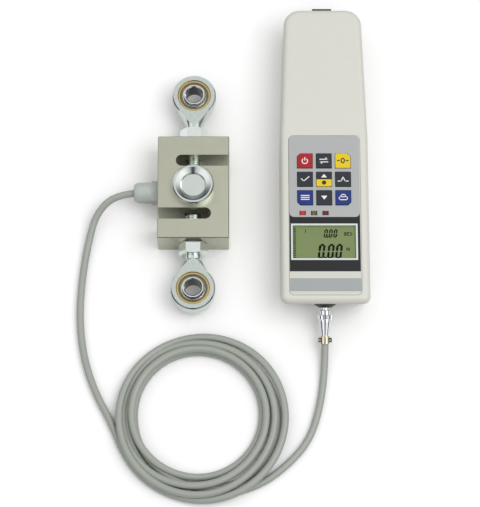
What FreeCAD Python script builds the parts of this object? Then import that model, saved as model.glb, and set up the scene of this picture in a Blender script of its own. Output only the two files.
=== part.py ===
import FreeCAD, Part
import math
import os

# A digital force gauge with an outside S-shaped load cell, lying face up on a table. Millimetres,
# +X right, +Y away from the user, +Z up. The origin is the middle of the table under the instrument,
# cable left out.

V = FreeCAD.Vector
X_AXIS, Y_AXIS, Z_AXIS = V(1, 0, 0), V(0, 1, 0), V(0, 0, 1)

# Display unit: housing
display_x = 53.2
display_foot_y = -116.3
housing_length = 228.0
housing_width = 63.6
housing_top_width = 56.4
housing_depth = 36.0
taper_start = 128.0
wall = 3.2
front_edge_radius = 4.2
rear_edge_radius = 2.4
foot_corner_radius = 5.2
top_corner_radius = 12.0
foot_slope_deg = 19.0
parting_height = 9.0
lip_height = 1.4
lip_width = 1.2
fit = 0.15
thread_gap = 0.02

# Display unit: front panel insert, measured from the housing's foot
insert_side_margin = 6.1
insert_width = housing_width - 2 * insert_side_margin
insert_bottom = 7.0
insert_top = 127.6
insert_thickness = 1.4
insert_gap = 0.25
insert_corner_radius = 3.4
ledge_width = 2.1
overlay_bottom = 65.2
overlay_height = 62.0
overlay_side_margin = 0.5
overlay_width = insert_width - 2 * overlay_side_margin
overlay_thickness = 0.6
panel_bottom = 24.6
panel_thickness = 0.5
panel_tuck = 3.6
label_bottom = 9.9
label_height = 9.2
label_thickness = 0.3

# Keys and lights
key_side_margin = 5.95
key_space_x = 2.6
key_width = (overlay_width - 2 * key_side_margin - 2 * key_space_x) / 3
key_height = 11.3
key_pitch_x = key_width + key_space_x
key_pitch_y = 14.1
key_offset_x = -0.4
key_row_y = 93.8
key_chamfer = 2.3
key_gap = 0.2
key_edge = 0.3
key_rise = 0.8
key_travel = 0.5
key_flange_rim = 0.8
key_flange_gap = 0.1
dome_gap = 0.05
dome_height = 0.35
dome_diameter = 8.0
dome_edge = 0.1
dome_top_share = 0.55
light_width = 4.2
light_height = 3.0
light_pitch = 8.2
light_offset_x = -7.4
light_y = 68.1
light_rise = 0.3

# Display
screen_side_margin = 3.1
screen_width = insert_width - 2 * screen_side_margin
screen_height = 24.8
screen_offset_x = -0.6
screen_y = 46.6
frame_rim = 1.25
frame_rise = 0.3
window_thickness = 0.6
window_seat = 1.0
glass_rim = 0.3
glass_thickness = 1.7

# Boards and battery
front_board_margin = 0.5
front_board_width = insert_width - 2 * front_board_margin
front_board_bottom = 26.0
front_board_top = 126.0
board_thickness = 1.6
main_board_side_gap = 9.8
main_board_width = housing_width - 2 * main_board_side_gap
main_board_bottom = 30.0
holder_top_gap = 106.0
holder_bottom = housing_length - holder_top_gap
holder_board_gap = 4.0
main_board_length = holder_bottom - main_board_bottom - holder_board_gap
main_board_height = 14.0
post_diameter = 6.0
post_inset = 4.5
board_screw_diameter = 2.4
board_screw_head = 4.4
board_screw_head_height = 1.4
board_screw_grip = 4.5
holder_screw_grip = 1.4
front_screw_grip = 1.4
# x from the main board's middle, share of its length, width, length, height
chip_sizes = [(-6.0, 0.5, 14.0, 14.0, 1.6), (11.0, 0.59, 8.0, 10.0, 1.8), (-2.0, 0.23, 12.0, 6.0, 5.5),
              (-2.0, 0.84, 20.0, 6.0, 6.0)]
buzzer_place = (12.0, 0.34)
buzzer_diameter = 6.4
buzzer_height = 8.0
cell_diameter = 10.5
cell_length = 44.5
cell_tip_length = 1.0
cell_tip_diameter = 4.2
cell_gap = 0.3
holder_wall = 1.2
holder_wall_share = 0.6

# Housing screws and mounting inserts
boss_diameter = 6.4
boss_root = 0.4
housing_screw_diameter = 2.9
housing_screw_head = 5.4
housing_screw_head_height = 2.2
housing_screw_length = 16.0
housing_screw_recess = 1.4
driver_slot_width = 0.8
driver_slot_share = 0.6
boss_foot_inset = 6.8
boss_waist_inset = 6.4
boss_top_inset = 6.9
boss_foot_y = 20.0
boss_waist_y = 8.0
boss_top_gap = 15.0
boss_places = [(housing_width / 2 - boss_foot_inset, boss_foot_y),
               (housing_width / 2 - boss_waist_inset, taper_start + boss_waist_y),
               (housing_top_width / 2 - boss_top_inset, housing_length - boss_top_gap)]
mount_insert_diameter = 6.0
mount_insert_length = 6.0
mount_insert_sink = 0.1
mount_thread_bore = 3.3
mount_boss_floor = 0.8
mount_boss_diameter = 8.0
mount_side_inset = 9.8
mount_pitch_x = housing_width - 2 * mount_side_inset
mount_low_y = 46.0
mount_top_gap = 58.0
mount_pitch_y = housing_length - mount_low_y - mount_top_gap

# Data port in the upper end
port_width = 14.4
port_height = 8.0
port_reach = 6.4
port_centre_z = 17.5
port_flange_width = 24.0
port_flange_height = 11.0
port_flange_thickness = 2.0
port_depth = 7.0
port_taper = 1.4
port_pins = 9
pin_pitch = 2.3
pin_bore = 1.1
pin_depth = 4.0
jack_offset = 8.9
jack_across_flats = 3.4
jack_length = 4.6

# Socket in the lower end and the plug in it, measured along their own axis
socket_z = 17.5
socket_nut_diameter = 15.8
socket_nut_tip = 9.6
socket_nut_length = 3.0
socket_nut_edge = 0.9
socket_barrel = 4.9
socket_neck_wall = 1.6
socket_step = 0.6
socket_bore = 3.0
socket_flange_diameter = 12.0
socket_flange_thickness = 1.6
socket_inside_length = 9.0
running_gap = 0.05
collar_start = 4.9
collar_diameter = 8.2
collar_length = 3.5
ring_diameter = 10.2
ring_length = 3.1
ring_grooves = 24
ring_groove_depth = 0.35
ring_groove_width = 0.6
sleeve_diameter = 6.6
taper_large = 8.8
taper_small = 5.6
taper_length = 12.1
taper_straight = 1.6
plug_wall = 0.8
plug_edge = 0.3
clamp_diameter = 7.4
clamp_width = 9.6
clamp_length = 5.4
clamp_ear_height = 2.4
clamp_screw_diameter = 1.6
clamp_ear_share = 0.6
clamp_ear_edge = 0.25
insulator_gap = 0.4
insulator_tail = 2.0
pin_gap = 0.3

# Cable
cord_diameter = 5.2
cord_radius = cord_diameter / 2

# Load cell body
cell_x = -41.5
cell_y = -24.9
cell_width = 51.8
cell_body_length = 78.0
cell_depth = 28.0
slot_height = 8.6
slot_centre = 20.3
slot_end_wall = 13.0
edge_break = 0.5
gauge_bore = 20.0
gauge_web = 3.0
cap_seat_diameter = 22.0
cap_seat_depth = 2.5
tip_relief_diameter = 14.0
tip_relief_depth = 1.2
lead_bore = 6.0
gauge_offset = 5.0
gauge_width = 4.0
gauge_height = 7.0
gauge_thickness = 0.12
terminal_width = 8.0
terminal_height = 4.0
terminal_thickness = 0.8
terminal_offset = 6.4

# Dished front cap and flat rear cap
cap_diameter = 29.8
cap_rise = 6.6
cap_rim_width = 2.0
cap_floor_diameter = 16.6
cap_dish_depth = 3.4
cap_edge = 0.8
cap_floor_round = 1.0
rear_cap_sink = 0.2

# Cable gland
gland_hex = 15.0
gland_hex_length = 4.8
gland_thread = 12.4
gland_thread_length = 6.0
gland_nut_diameter = 15.2
gland_nut_length = 12.8
gland_nut_mouth = 9.4
gland_nut_round = 4.6
gland_spigot = 9.8
gland_spigot_length = 4.5
gland_nut_end_wall = 1.4
gland_bore_gap = 0.3
gland_seal_gap = 0.1

# Rod ends
eye_diameter = 32.0
eye_thickness = 12.0
eye_neck_end = 22.5
race_outer = 24.4
race_width = 10.4
race_chamfer = 0.5
sphere_diameter = 22.2
sphere_gap = 0.08
eye_edge = 0.8
press_gap = 0.01
ball_width = 16.0
ball_bore = 12.0
ball_chamfer = 0.7
shank_diameter = 12.0
shank_tip_chamfer = 1.4
shank_reach = 7.4
thread_pitch = 1.75
thread_groove = 0.5
thread_turns_seen = 3
eye_distance = 35.2
lock_nut_flats = 18.0
lock_nut_height = 9.6
lock_nut_edge_share = 0.96
lock_nut_chamfer_deg = 30.0

# Values that follow from the ones above
foot_slope = math.tan(math.radians(foot_slope_deg))
display_top_y = display_foot_y + housing_length
insert_back_z = housing_depth - insert_thickness
ledge_z = housing_depth - wall
overlay_top_z = housing_depth + overlay_thickness
dome_top_z = ledge_z + dome_height
key_flange_z = dome_top_z + dome_gap + key_travel
key_flange_top_z = insert_back_z - key_flange_gap
key_top_z = overlay_top_z + key_rise
front_board_z = ledge_z - board_thickness
cell_axis_z = cell_depth / 2
cell_left_x = cell_x - cell_width / 2
bar_height = cell_body_length / 2 - slot_centre - slot_height / 2
socket_y = display_foot_y + (housing_depth - socket_z) * foot_slope
plug_axis = V(0, -math.cos(math.radians(foot_slope_deg)), -math.sin(math.radians(foot_slope_deg)))
ring_start = collar_start + collar_length
taper_start_at = ring_start + ring_length
clamp_start = taper_start_at + taper_length
plug_end = clamp_start + clamp_length

KEY_NAMES = [
    ["key_power", "key_unit", "key_zero"],
    ["key_set", "key_up", "key_peak"],
    ["key_memory", "key_down", "key_print"],
]

# Cable routes: straight runs between these points, joined by tangent arcs
CELL_ROUTE = [
    (-76.2, -24.9, 14.0), (-95.9, -24.9, 14.0), (-112.2, -37.0, 8.2), (-118.7, -60.9, 2.8),
    (-122.5, -88.9, 2.6), (-123.5, -118.9, 2.6), (-119.7, -146.9, 2.6), (-111.2, -171.9, 2.6),
    (-99.2, -193.9, 2.6), (-90.7, -211.4, 2.6),
]
PLUG_ROUTE = [
    (53.2, -134.2, 9.1), (53.2, -153.1, 2.6), (49.8, -180.9, 2.6), (42.3, -205.9, 2.6),
    (27.3, -223.9, 2.6), (6.3, -239.9, 2.6), (-14.2, -246.4, 2.6),
]

# The coil's outer shape
coil_outer_x, coil_outer_y, coil_outer_radius = -34.8, -190.6, 62.6
coil_hole_x, coil_hole_y, coil_hole_radius = -37.5, -188.0, 43.8
coil_layers = 2
coil_round = 2.2


def box(x0, x1, y0, y1, z0, z1):
    """A box between two corners."""
    return Part.makeBox(x1 - x0, y1 - y0, z1 - z0, V(x0, y0, z0))


def centred_box(x, y, width, height, z0, z1):
    """A box centred on x, y in plan."""
    return box(x - width / 2, x + width / 2, y - height / 2, y + height / 2, z0, z1)


def cylinder(radius, start, axis, length):
    """A cylinder from a start point along an axis."""
    return Part.makeCylinder(radius, length, V(*start), axis)


def upright_edges(solid):
    """Edges that run mostly along Z."""
    found = []
    for edge in solid.Edges:
        rise = abs(edge.Vertexes[0].Z - edge.Vertexes[-1].Z)
        if rise > 0.9 * edge.Length:
            found.append(edge)
    return found


def rounded_box(x, y, width, height, z0, z1, radius):
    """A centred box with its four upright edges rounded."""
    solid = centred_box(x, y, width, height, z0, z1)
    return solid.makeFillet(radius, upright_edges(solid))


def prism(points, z0, z1):
    """A polygon in plan, raised from z0 to z1."""
    wire = Part.makePolygon([V(x, y, z0) for x, y in points + points[:1]])
    return Part.Face(wire).extrude(V(0, 0, z1 - z0))


def revolved(profile, origin, axis):
    """A body turned about an axis; the profile gives (distance along the axis, radius)."""
    wire = Part.makePolygon([V(radius, 0, along) for along, radius in profile + profile[:1]])
    solid = Part.Face(wire).revolve(V(0, 0, 0), Z_AXIS, 360)
    solid.Placement = FreeCAD.Placement(origin, FreeCAD.Rotation(Z_AXIS, axis))
    return solid


def hexagon(across_flats, start, axis, length, side):
    """A hexagonal bar; one of its flats faces along side."""
    corner = across_flats / math.sqrt(3)
    other = axis.cross(side)
    points = []
    for step in range(7):
        angle = math.radians(30 + 60 * step)
        points.append(start + side * (corner * math.cos(angle)) + other * (corner * math.sin(angle)))
    return Part.Face(Part.makePolygon(points)).extrude(axis * length)


def save(name, *solids):
    """Write one node, a solid or a group of separate solids."""
    shape = solids[0] if len(solids) == 1 else Part.makeCompound(list(solids))
    for solid in solids:
        if not solid.isValid() or len(solid.Solids) != 1:
            print("check", name, solid.isValid(), len(solid.Solids))
    shape.exportStep("parts/%s.step" % name)


def inset_polygon(points, inset):
    """Move each side of a convex anticlockwise polygon inwards and find the new corners."""
    lines = []
    for index, (x0, y0) in enumerate(points):
        x1, y1 = points[(index + 1) % len(points)]
        length = math.hypot(x1 - x0, y1 - y0)
        direction = ((x1 - x0) / length, (y1 - y0) / length)
        lines.append(((x0 - direction[1] * inset, y0 + direction[0] * inset), direction))
    corners = []
    for index, (start, direction) in enumerate(lines):
        before, before_dir = lines[index - 1]
        cross = before_dir[0] * direction[1] - before_dir[1] * direction[0]
        gap_x, gap_y = start[0] - before[0], start[1] - before[1]
        along = (gap_x * direction[1] - gap_y * direction[0]) / cross
        corners.append((before[0] + before_dir[0] * along, before[1] + before_dir[1] * along))
    return corners


def housing_block(inset, z0, z1):
    """The housing's outline moved inwards, between two heights, with its sloping foot."""
    half, top_half = housing_width / 2, housing_top_width / 2
    outline = [
        (-half, 0), (half, 0), (half, taper_start),
        (top_half, housing_length), (-top_half, housing_length), (-half, taper_start),
    ]
    placed = [(display_x + x, display_foot_y + y) for x, y in inset_polygon(outline, inset)]
    solid = prism(placed, z0, z1)
    slope_inset = inset / math.cos(math.radians(foot_slope_deg))
    top_y = display_foot_y + slope_inset + (housing_depth - z1) * foot_slope
    low_y = display_foot_y + slope_inset + (housing_depth - z0) * foot_slope
    far_y = display_foot_y - housing_depth
    side = [V(0, top_y, z1), V(0, low_y, z0), V(0, far_y, z0), V(0, far_y, z1), V(0, top_y, z1)]
    wedge = Part.Face(Part.makePolygon(side)).extrude(V(2 * housing_width, 0, 0))
    wedge.translate(V(display_x - housing_width, 0, 0))
    solid = solid.cut(wedge)
    for radius, low, high in (
        (foot_corner_radius - inset, 0, taper_start / 2),
        (top_corner_radius - inset, housing_length - top_corner_radius, housing_length + 1),
    ):
        edges = []
        for edge in solid.Edges:
            rise = abs(edge.Vertexes[0].Z - edge.Vertexes[-1].Z)
            middle = edge.CenterOfMass.y - display_foot_y
            if rise > 0.9 * (z1 - z0) and low <= middle <= high:
                edges.append(edge)
        solid = solid.makeFillet(radius, edges)
    return solid


def rim_edges(solid, z):
    """Edges that lie in the plane of height z."""
    return [edge for edge in solid.Edges if all(abs(vertex.Z - z) < 1e-6 for vertex in edge.Vertexes)]


def housing_shell():
    """The hollow housing in one piece, before it is parted."""
    outer = housing_block(0, 0, housing_depth)
    outer = outer.makeFillet(front_edge_radius, rim_edges(outer, housing_depth))
    outer = outer.makeFillet(rear_edge_radius, rim_edges(outer, 0))
    return outer.cut(housing_block(wall, wall, housing_depth - wall))


def lip_ring(outer_gap, inner_gap, height):
    """The raised lip along the parting line of the rear housing."""
    outer = housing_block(wall - lip_width + outer_gap, parting_height, parting_height + height)
    return outer.cut(housing_block(wall + inner_gap, parting_height, parting_height + height))


def boss_centres():
    """Plan places of the six housing screws."""
    return [(display_x + side * x, display_foot_y + y) for x, y in boss_places for side in (-1, 1)]


def mount_centres():
    """Plan places of the four threaded inserts in the back."""
    places = []
    for side in (-1, 1):
        for row in range(2):
            x = display_x + side * mount_pitch_x / 2
            places.append((x, display_foot_y + mount_low_y + row * mount_pitch_y))
    return places


def post_centres():
    """Plan places of the main board's posts."""
    places = []
    for side in (-1, 1):
        for end in (post_inset, main_board_length - post_inset):
            x = display_x + side * (main_board_width / 2 - post_inset)
            places.append((x, display_foot_y + main_board_bottom + end))
    return places


def key_centre(row, column):
    """Plan centre of a key; row 0 is the far row."""
    x = display_x + key_offset_x + (column - 1) * key_pitch_x
    return x, display_foot_y + key_row_y + (1 - row) * key_pitch_y


def key_outline(row, column, grow):
    """Plan outline of a key, with the pad's outermost corner cut off on the four corner keys."""
    x, y = key_centre(row, column)
    half_w, half_h = key_width / 2 + grow, key_height / 2 + grow
    cut = key_chamfer + grow * (2 - math.sqrt(2))
    points = []
    for side_x, side_y in ((-1, -1), (1, -1), (1, 1), (-1, 1)):
        outermost = (column - 1 == side_x) and (1 - row == side_y)
        corner = (x + side_x * half_w, y + side_y * half_h)
        if not outermost:
            points.append(corner)
            continue
        along_x = (corner[0] - side_x * cut, corner[1])
        along_y = (corner[0], corner[1] - side_y * cut)
        points += [along_x, along_y]
    return sort_anticlockwise(points)


def sort_anticlockwise(points):
    """Order the corners of a convex outline."""
    middle_x = sum(x for x, y in points) / len(points)
    middle_y = sum(y for x, y in points) / len(points)
    return sorted(points, key=lambda point: math.atan2(point[1] - middle_y, point[0] - middle_x))


def light_centres():
    """Plan centres of the three status lights."""
    first = display_x + key_offset_x + light_offset_x
    return [(first + (index - 1) * light_pitch, display_foot_y + light_y) for index in range(3)]


def pad_windows(z0, z1):
    """Openings for the keys and the lights, through the overlay and the insert."""
    cuts = []
    for row in range(3):
        for column in range(3):
            cuts.append(prism(key_outline(row, column, key_gap), z0, z1))
    for x, y in light_centres():
        cuts.append(centred_box(x, y, light_width + 2 * fit, light_height + 2 * fit, z0, z1))
    return cuts


def insert_plan(grow, z0, z1):
    """The front panel insert's outline."""
    middle = display_foot_y + (insert_bottom + insert_top) / 2
    height = insert_top - insert_bottom
    return rounded_box(display_x, middle, insert_width + 2 * grow, height + 2 * grow, z0, z1,
                       insert_corner_radius + grow)


def screen_box(grow, z0, z1):
    """A box centred on the screen."""
    return centred_box(display_x + screen_offset_x, display_foot_y + screen_y,
                       screen_width + 2 * grow, screen_height + 2 * grow, z0, z1)


def front_housing():
    """Front shell with the insert's pocket, screw bosses and the holes in both ends."""
    shell = housing_shell().common(box(display_x - housing_width, display_x + housing_width,
                                       display_foot_y - wall, display_top_y + wall,
                                       parting_height, housing_depth + wall))
    shell = shell.cut(insert_plan(insert_gap, insert_back_z, housing_depth + wall))
    shell = shell.cut(insert_plan(-ledge_width, ledge_z - wall, housing_depth))
    room = housing_block(0, parting_height, housing_depth - wall / 2)
    boss_length = ledge_z - parting_height + boss_root
    bosses = [cylinder(boss_diameter / 2, (x, y, parting_height), Z_AXIS, boss_length)
              for x, y in boss_centres()]
    shell = shell.cut(lip_ring(-fit, fit, lip_height + fit))
    shell = shell.cut([cylinder(board_screw_diameter / 2, (x, y, ledge_z), Z_AXIS, front_screw_grip)
                       for x, y in front_screw_places()])
    shell = shell.fuse([boss.common(room) for boss in bosses])
    pilot_length = housing_screw_length + housing_screw_recess
    pilots = [cylinder(housing_screw_diameter / 2, (x, y, parting_height), Z_AXIS, pilot_length)
              for x, y in boss_centres()]
    shell = shell.cut(pilots)
    bore_radius = socket_barrel / 2 + socket_neck_wall + running_gap
    shell = shell.cut(cylinder(bore_radius, socket_point(-2 * wall), plug_axis, 3 * wall))
    shell = shell.cut(port_plan(fit, display_top_y - 2 * wall, display_top_y + wall))
    jack_radius = jack_across_flats / math.sqrt(3) + fit
    for side in (-1, 1):
        start = (display_x + side * jack_offset, display_top_y - 2 * wall, port_centre_z)
        shell = shell.cut(cylinder(jack_radius, start, Y_AXIS, 3 * wall))
    return shell


def rear_housing():
    """Rear shell with its lip, screw pillars, board posts and insert bosses."""
    shell = housing_shell().common(box(display_x - housing_width, display_x + housing_width,
                                       display_foot_y - wall, display_top_y + wall,
                                       -wall, parting_height))
    lip = lip_ring(0, 0, lip_height)
    room = housing_block(wall / 2, wall / 2, parting_height)
    pillars = [cylinder(boss_diameter / 2, (x, y, wall / 2), Z_AXIS, parting_height - wall / 2).common(room)
               for x, y in boss_centres()]
    posts = [cylinder(post_diameter / 2, (x, y, wall / 2), Z_AXIS, main_board_height - wall / 2)
             for x, y in post_centres()]
    mount_boss_length = mount_insert_length + mount_boss_floor - wall / 2
    inserts = [cylinder(mount_boss_diameter / 2, (x, y, wall / 2), Z_AXIS, mount_boss_length)
               for x, y in mount_centres()]
    clear = [cylinder(boss_diameter / 2 + fit, (x, y, parting_height), Z_AXIS, lip_height + fit)
             for x, y in boss_centres()]
    shell = shell.fuse([lip.cut(clear)] + pillars + posts + inserts)
    head_room = housing_screw_head_height + housing_screw_recess
    cuts = []
    for x, y in boss_centres():
        cuts.append(cylinder(housing_screw_diameter / 2 + fit, (x, y, 0), Z_AXIS, parting_height))
        cuts.append(cylinder(housing_screw_head / 2 + fit, (x, y, 0), Z_AXIS, head_room))
    for x, y in mount_centres():
        cuts.append(cylinder(mount_insert_diameter / 2, (x, y, 0), Z_AXIS, mount_insert_length))
    for x, y in post_centres():
        start = (x, y, main_board_height - post_diameter)
        cuts.append(cylinder(board_screw_diameter / 2, start, Z_AXIS, post_diameter))
    for x, y in holder_screw_places():
        cuts.append(cylinder(board_screw_diameter / 2, (x, y, wall / 2), Z_AXIS, wall))
    return shell.cut(cuts)


def housing_screws():
    """Six screws from the back."""
    screws = []
    head_z = housing_screw_recess
    slot_top = head_z + driver_slot_width
    slot_length = housing_screw_head * driver_slot_share
    for x, y in boss_centres():
        head = cylinder(housing_screw_head / 2, (x, y, head_z), Z_AXIS, housing_screw_head_height)
        shank = cylinder(housing_screw_diameter / 2 - thread_gap, (x, y, head_z), Z_AXIS,
                         housing_screw_length)
        slot = centred_box(x, y, slot_length, driver_slot_width, head_z, slot_top)
        cross = centred_box(x, y, driver_slot_width, slot_length, head_z, slot_top)
        screws.append(head.fuse(shank).cut([slot, cross]))
    return screws


def mounting_inserts():
    """Four threaded brass inserts, flush with the back."""
    inserts = []
    for x, y in mount_centres():
        body = cylinder(mount_insert_diameter / 2, (x, y, mount_insert_sink), Z_AXIS,
                        mount_insert_length - mount_insert_sink)
        inserts.append(body.cut(cylinder(mount_thread_bore / 2, (x, y, 0), Z_AXIS, mount_insert_length)))
    return inserts


def front_insert():
    """Flush plate that carries the keypad overlay, the dark panel and the label strip."""
    plate = insert_plan(0, insert_back_z, housing_depth)
    cuts = pad_windows(insert_back_z, housing_depth)
    recess_z = housing_depth - window_seat
    cuts.append(screen_box(frame_rim + fit, recess_z, housing_depth))
    cuts.append(screen_box(0, insert_back_z, housing_depth))
    cuts.append(panel_plan(fit, housing_depth - panel_thickness, housing_depth))
    cuts.append(label_plan(fit, housing_depth - label_thickness, housing_depth))
    return plate.cut(cuts)


def panel_plan(grow, z0, z1):
    """The dark panel around the screen, tucked under the overlay's lower edge."""
    height = overlay_bottom + panel_tuck - panel_bottom
    middle = display_foot_y + panel_bottom + height / 2
    return centred_box(display_x + key_offset_x / 2, middle, overlay_width + 2 * grow,
                       height + 2 * grow, z0, z1)


def label_plan(grow, z0, z1):
    """The bare label strip."""
    middle = display_foot_y + label_bottom + label_height / 2
    return centred_box(display_x, middle, overlay_width + 2 * grow, label_height + 2 * grow, z0, z1)


def keypad_overlay():
    """Silver overlay with openings for the keys and the lights."""
    middle = display_foot_y + overlay_bottom + overlay_height / 2
    sheet = rounded_box(display_x + key_offset_x / 2, middle, overlay_width, overlay_height,
                        housing_depth, overlay_top_z, insert_corner_radius)
    return sheet.cut(pad_windows(housing_depth, overlay_top_z))


def key(row, column):
    """One key: a cap through the overlay and a flange that holds it under the insert."""
    cap = prism(key_outline(row, column, 0), key_flange_z, key_top_z)
    cap = cap.makeChamfer(key_edge, rim_edges(cap, key_top_z))
    x, y = key_centre(row, column)
    rim = 2 * key_flange_rim
    flange = centred_box(x, y, key_width + rim, key_height + rim, key_flange_z, key_flange_top_z)
    return cap.fuse(flange)


def front_board():
    """Circuit board behind the front panel, against the housing's ledge."""
    middle = display_foot_y + (front_board_bottom + front_board_top) / 2
    height = front_board_top - front_board_bottom
    board = centred_box(display_x, middle, front_board_width, height, front_board_z, ledge_z)
    return board.cut([cylinder(board_screw_diameter / 2, (x, y, front_board_z), Z_AXIS, board_thickness)
                      for x, y in front_screw_places()])


def front_screw_places():
    """Screw places in the board's edge, on the housing's ledge."""
    x = (insert_width / 2 - ledge_width + front_board_width / 2) / 2
    low = display_foot_y + front_board_bottom + post_inset
    high = display_foot_y + front_board_top - post_inset
    return [(display_x + side * x, y) for side in (-1, 1) for y in (low, high)]


def snap_domes():
    """Nine low snap domes on the front board, one under each key."""
    domes = []
    for row in range(3):
        for column in range(3):
            x, y = key_centre(row, column)
            origin = V(x, y, ledge_z)
            outer = dome_diameter / 2
            profile = [(0, 0), (0, outer), (dome_edge, outer),
                       (dome_height, outer * dome_top_share), (dome_height, 0)]
            domes.append(revolved(profile, origin, Z_AXIS))
    return domes


def status_lights():
    """Three light blocks on the front board that reach through the overlay."""
    top = overlay_top_z + light_rise
    return [centred_box(x, y, light_width, light_height, ledge_z, top) for x, y in light_centres()]


def screen_parts():
    """Crystal glass on the board, clear window in the insert and the frame over its edge."""
    glass = screen_box(glass_rim, ledge_z, ledge_z + glass_thickness)
    seat_z = housing_depth - window_seat
    window = screen_box(frame_rim - fit, seat_z, seat_z + window_thickness)
    ring = screen_box(frame_rim, seat_z + window_thickness, housing_depth + frame_rise)
    ring = ring.cut(screen_box(0, seat_z, housing_depth + frame_rise))
    return glass, window, ring


def display_panel():
    """Dark panel with the frame's opening."""
    panel = panel_plan(0, housing_depth - panel_thickness, housing_depth)
    cuts = [centred_box(x, y, light_width + 2 * fit, light_height + 2 * fit, insert_back_z, overlay_top_z)
            for x, y in light_centres()]
    cuts.append(screen_box(frame_rim + fit, housing_depth - panel_thickness, housing_depth))
    return panel.cut(cuts)


def main_circuit_board():
    """Main board with its larger components."""
    y0 = display_foot_y + main_board_bottom
    z = main_board_height
    board = centred_box(display_x, y0 + main_board_length / 2, main_board_width, main_board_length,
                        z, z + board_thickness)
    board = board.cut([cylinder(board_screw_diameter / 2, (x, y, z), Z_AXIS, board_thickness)
                       for x, y in post_centres()])
    top = z + board_thickness
    parts = [centred_box(display_x + x, y0 + share * main_board_length, width, length, top, top + height)
             for x, share, width, length, height in chip_sizes]
    buzzer = (display_x + buzzer_place[0], y0 + buzzer_place[1] * main_board_length, top)
    parts.append(cylinder(buzzer_diameter / 2, buzzer, Z_AXIS, buzzer_height))
    return [board] + parts


def pan_screw(x, y, head_z, length, direction):
    """A small pan-headed screw; direction is +1 where the shank points up."""
    base = head_z if direction > 0 else head_z - board_screw_head_height
    head = cylinder(board_screw_head / 2, (x, y, base), Z_AXIS, board_screw_head_height)
    start = base + board_screw_head_height if direction > 0 else base - length
    shank = cylinder(board_screw_diameter / 2 - thread_gap, (x, y, start), Z_AXIS, length)
    return head.fuse(shank)


def board_screws():
    """Screws of the main board, the front board and the battery holder."""
    screws = []
    head_top = main_board_height + board_thickness + board_screw_head_height
    for x, y in post_centres():
        screws.append(pan_screw(x, y, head_top, board_thickness + board_screw_grip, -1))
    for x, y in front_screw_places():
        base = front_board_z - board_screw_head_height
        screws.append(pan_screw(x, y, base, board_thickness + front_screw_grip, 1))
    for x, y in holder_screw_places():
        head_top = wall + holder_wall + board_screw_head_height
        screws.append(pan_screw(x, y, head_top, holder_wall + holder_screw_grip, -1))
    return screws


def holder_size():
    """Width and length of the battery holder."""
    width = 3 * cell_diameter + 4 * cell_gap + 2 * holder_wall
    length = 2 * cell_length + 3 * cell_gap + 2 * holder_wall + 2 * board_screw_head
    return width, length


def holder_screw_places():
    """Screws at both ends of the battery holder."""
    length = holder_size()[1]
    ends = (holder_bottom + board_screw_head / 2, holder_bottom + length - board_screw_head / 2)
    return [(display_x, display_foot_y + end) for end in ends]


def battery_holder():
    """Open tray on the rear housing's floor."""
    width, length = holder_size()
    middle = display_foot_y + holder_bottom + length / 2
    floor = wall
    tray = centred_box(display_x, middle, width, length, floor, floor + holder_wall)
    bay_length = length - 2 * board_screw_head
    top = floor + holder_wall + cell_diameter * holder_wall_share
    walls = centred_box(display_x, middle, width, bay_length, floor, top)
    inside = centred_box(display_x, middle, width - 2 * holder_wall, bay_length - 2 * holder_wall,
                         floor + holder_wall, top)
    holes = [cylinder(board_screw_diameter / 2, (x, y, floor), Z_AXIS, holder_wall)
             for x, y in holder_screw_places()]
    return tray.fuse(walls).cut([inside] + holes)


def battery_cells():
    """Six small rechargeable cells in the tray."""
    cells = []
    first = display_foot_y + holder_bottom + board_screw_head + holder_wall + cell_gap
    z = wall + holder_wall + cell_diameter / 2
    for row in range(2):
        for column in range(3):
            x = display_x + (column - 1) * (cell_diameter + cell_gap)
            y = first + row * (cell_length + cell_gap)
            can = cylinder(cell_diameter / 2, (x, y, z), Y_AXIS, cell_length - cell_tip_length)
            tip = cylinder(cell_tip_diameter / 2, (x, y + cell_length - cell_tip_length, z), Y_AXIS,
                           cell_tip_length)
            cells.append(can.fuse(tip))
    return cells


def port_plan(grow, y0, y1):
    """The data port's tapered outline, wider at its upper side."""
    half, half_h = port_width / 2 + grow, port_height / 2 + grow
    corners = [(-half + port_taper, -half_h), (half - port_taper, -half_h), (half, half_h), (-half, half_h)]
    points = [V(display_x + x, y0, port_centre_z + z) for x, z in corners + corners[:1]]
    return Part.Face(Part.makePolygon(points)).extrude(V(0, y1 - y0, 0))


def data_port():
    """Port body with its pin holes and a flange against the inside of the upper end."""
    body = port_plan(0, display_top_y - wall - port_depth, display_top_y + port_reach)
    flange_y = display_top_y - wall
    flange = box(display_x - port_flange_width / 2, display_x + port_flange_width / 2,
                 flange_y - port_flange_thickness, flange_y,
                 port_centre_z - port_flange_height / 2, port_centre_z + port_flange_height / 2)
    holes = []
    for index in range(port_pins):
        upper = index < (port_pins + 1) // 2
        column = index if upper else index - (port_pins + 1) // 2
        count = (port_pins + 1) // 2 if upper else port_pins // 2
        x = display_x + (column - (count - 1) / 2) * pin_pitch
        z = port_centre_z + (1 if upper else -1) * pin_pitch / 2
        bottom = (x, display_top_y + port_reach - pin_depth, z)
        holes.append(cylinder(pin_bore / 2, bottom, Y_AXIS, pin_depth))
    for side in (-1, 1):
        start = (display_x + side * jack_offset, flange_y - port_flange_thickness, port_centre_z)
        holes.append(cylinder(board_screw_diameter / 2, start, Y_AXIS, port_flange_thickness))
    return body.fuse(flange).cut(holes)


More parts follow.
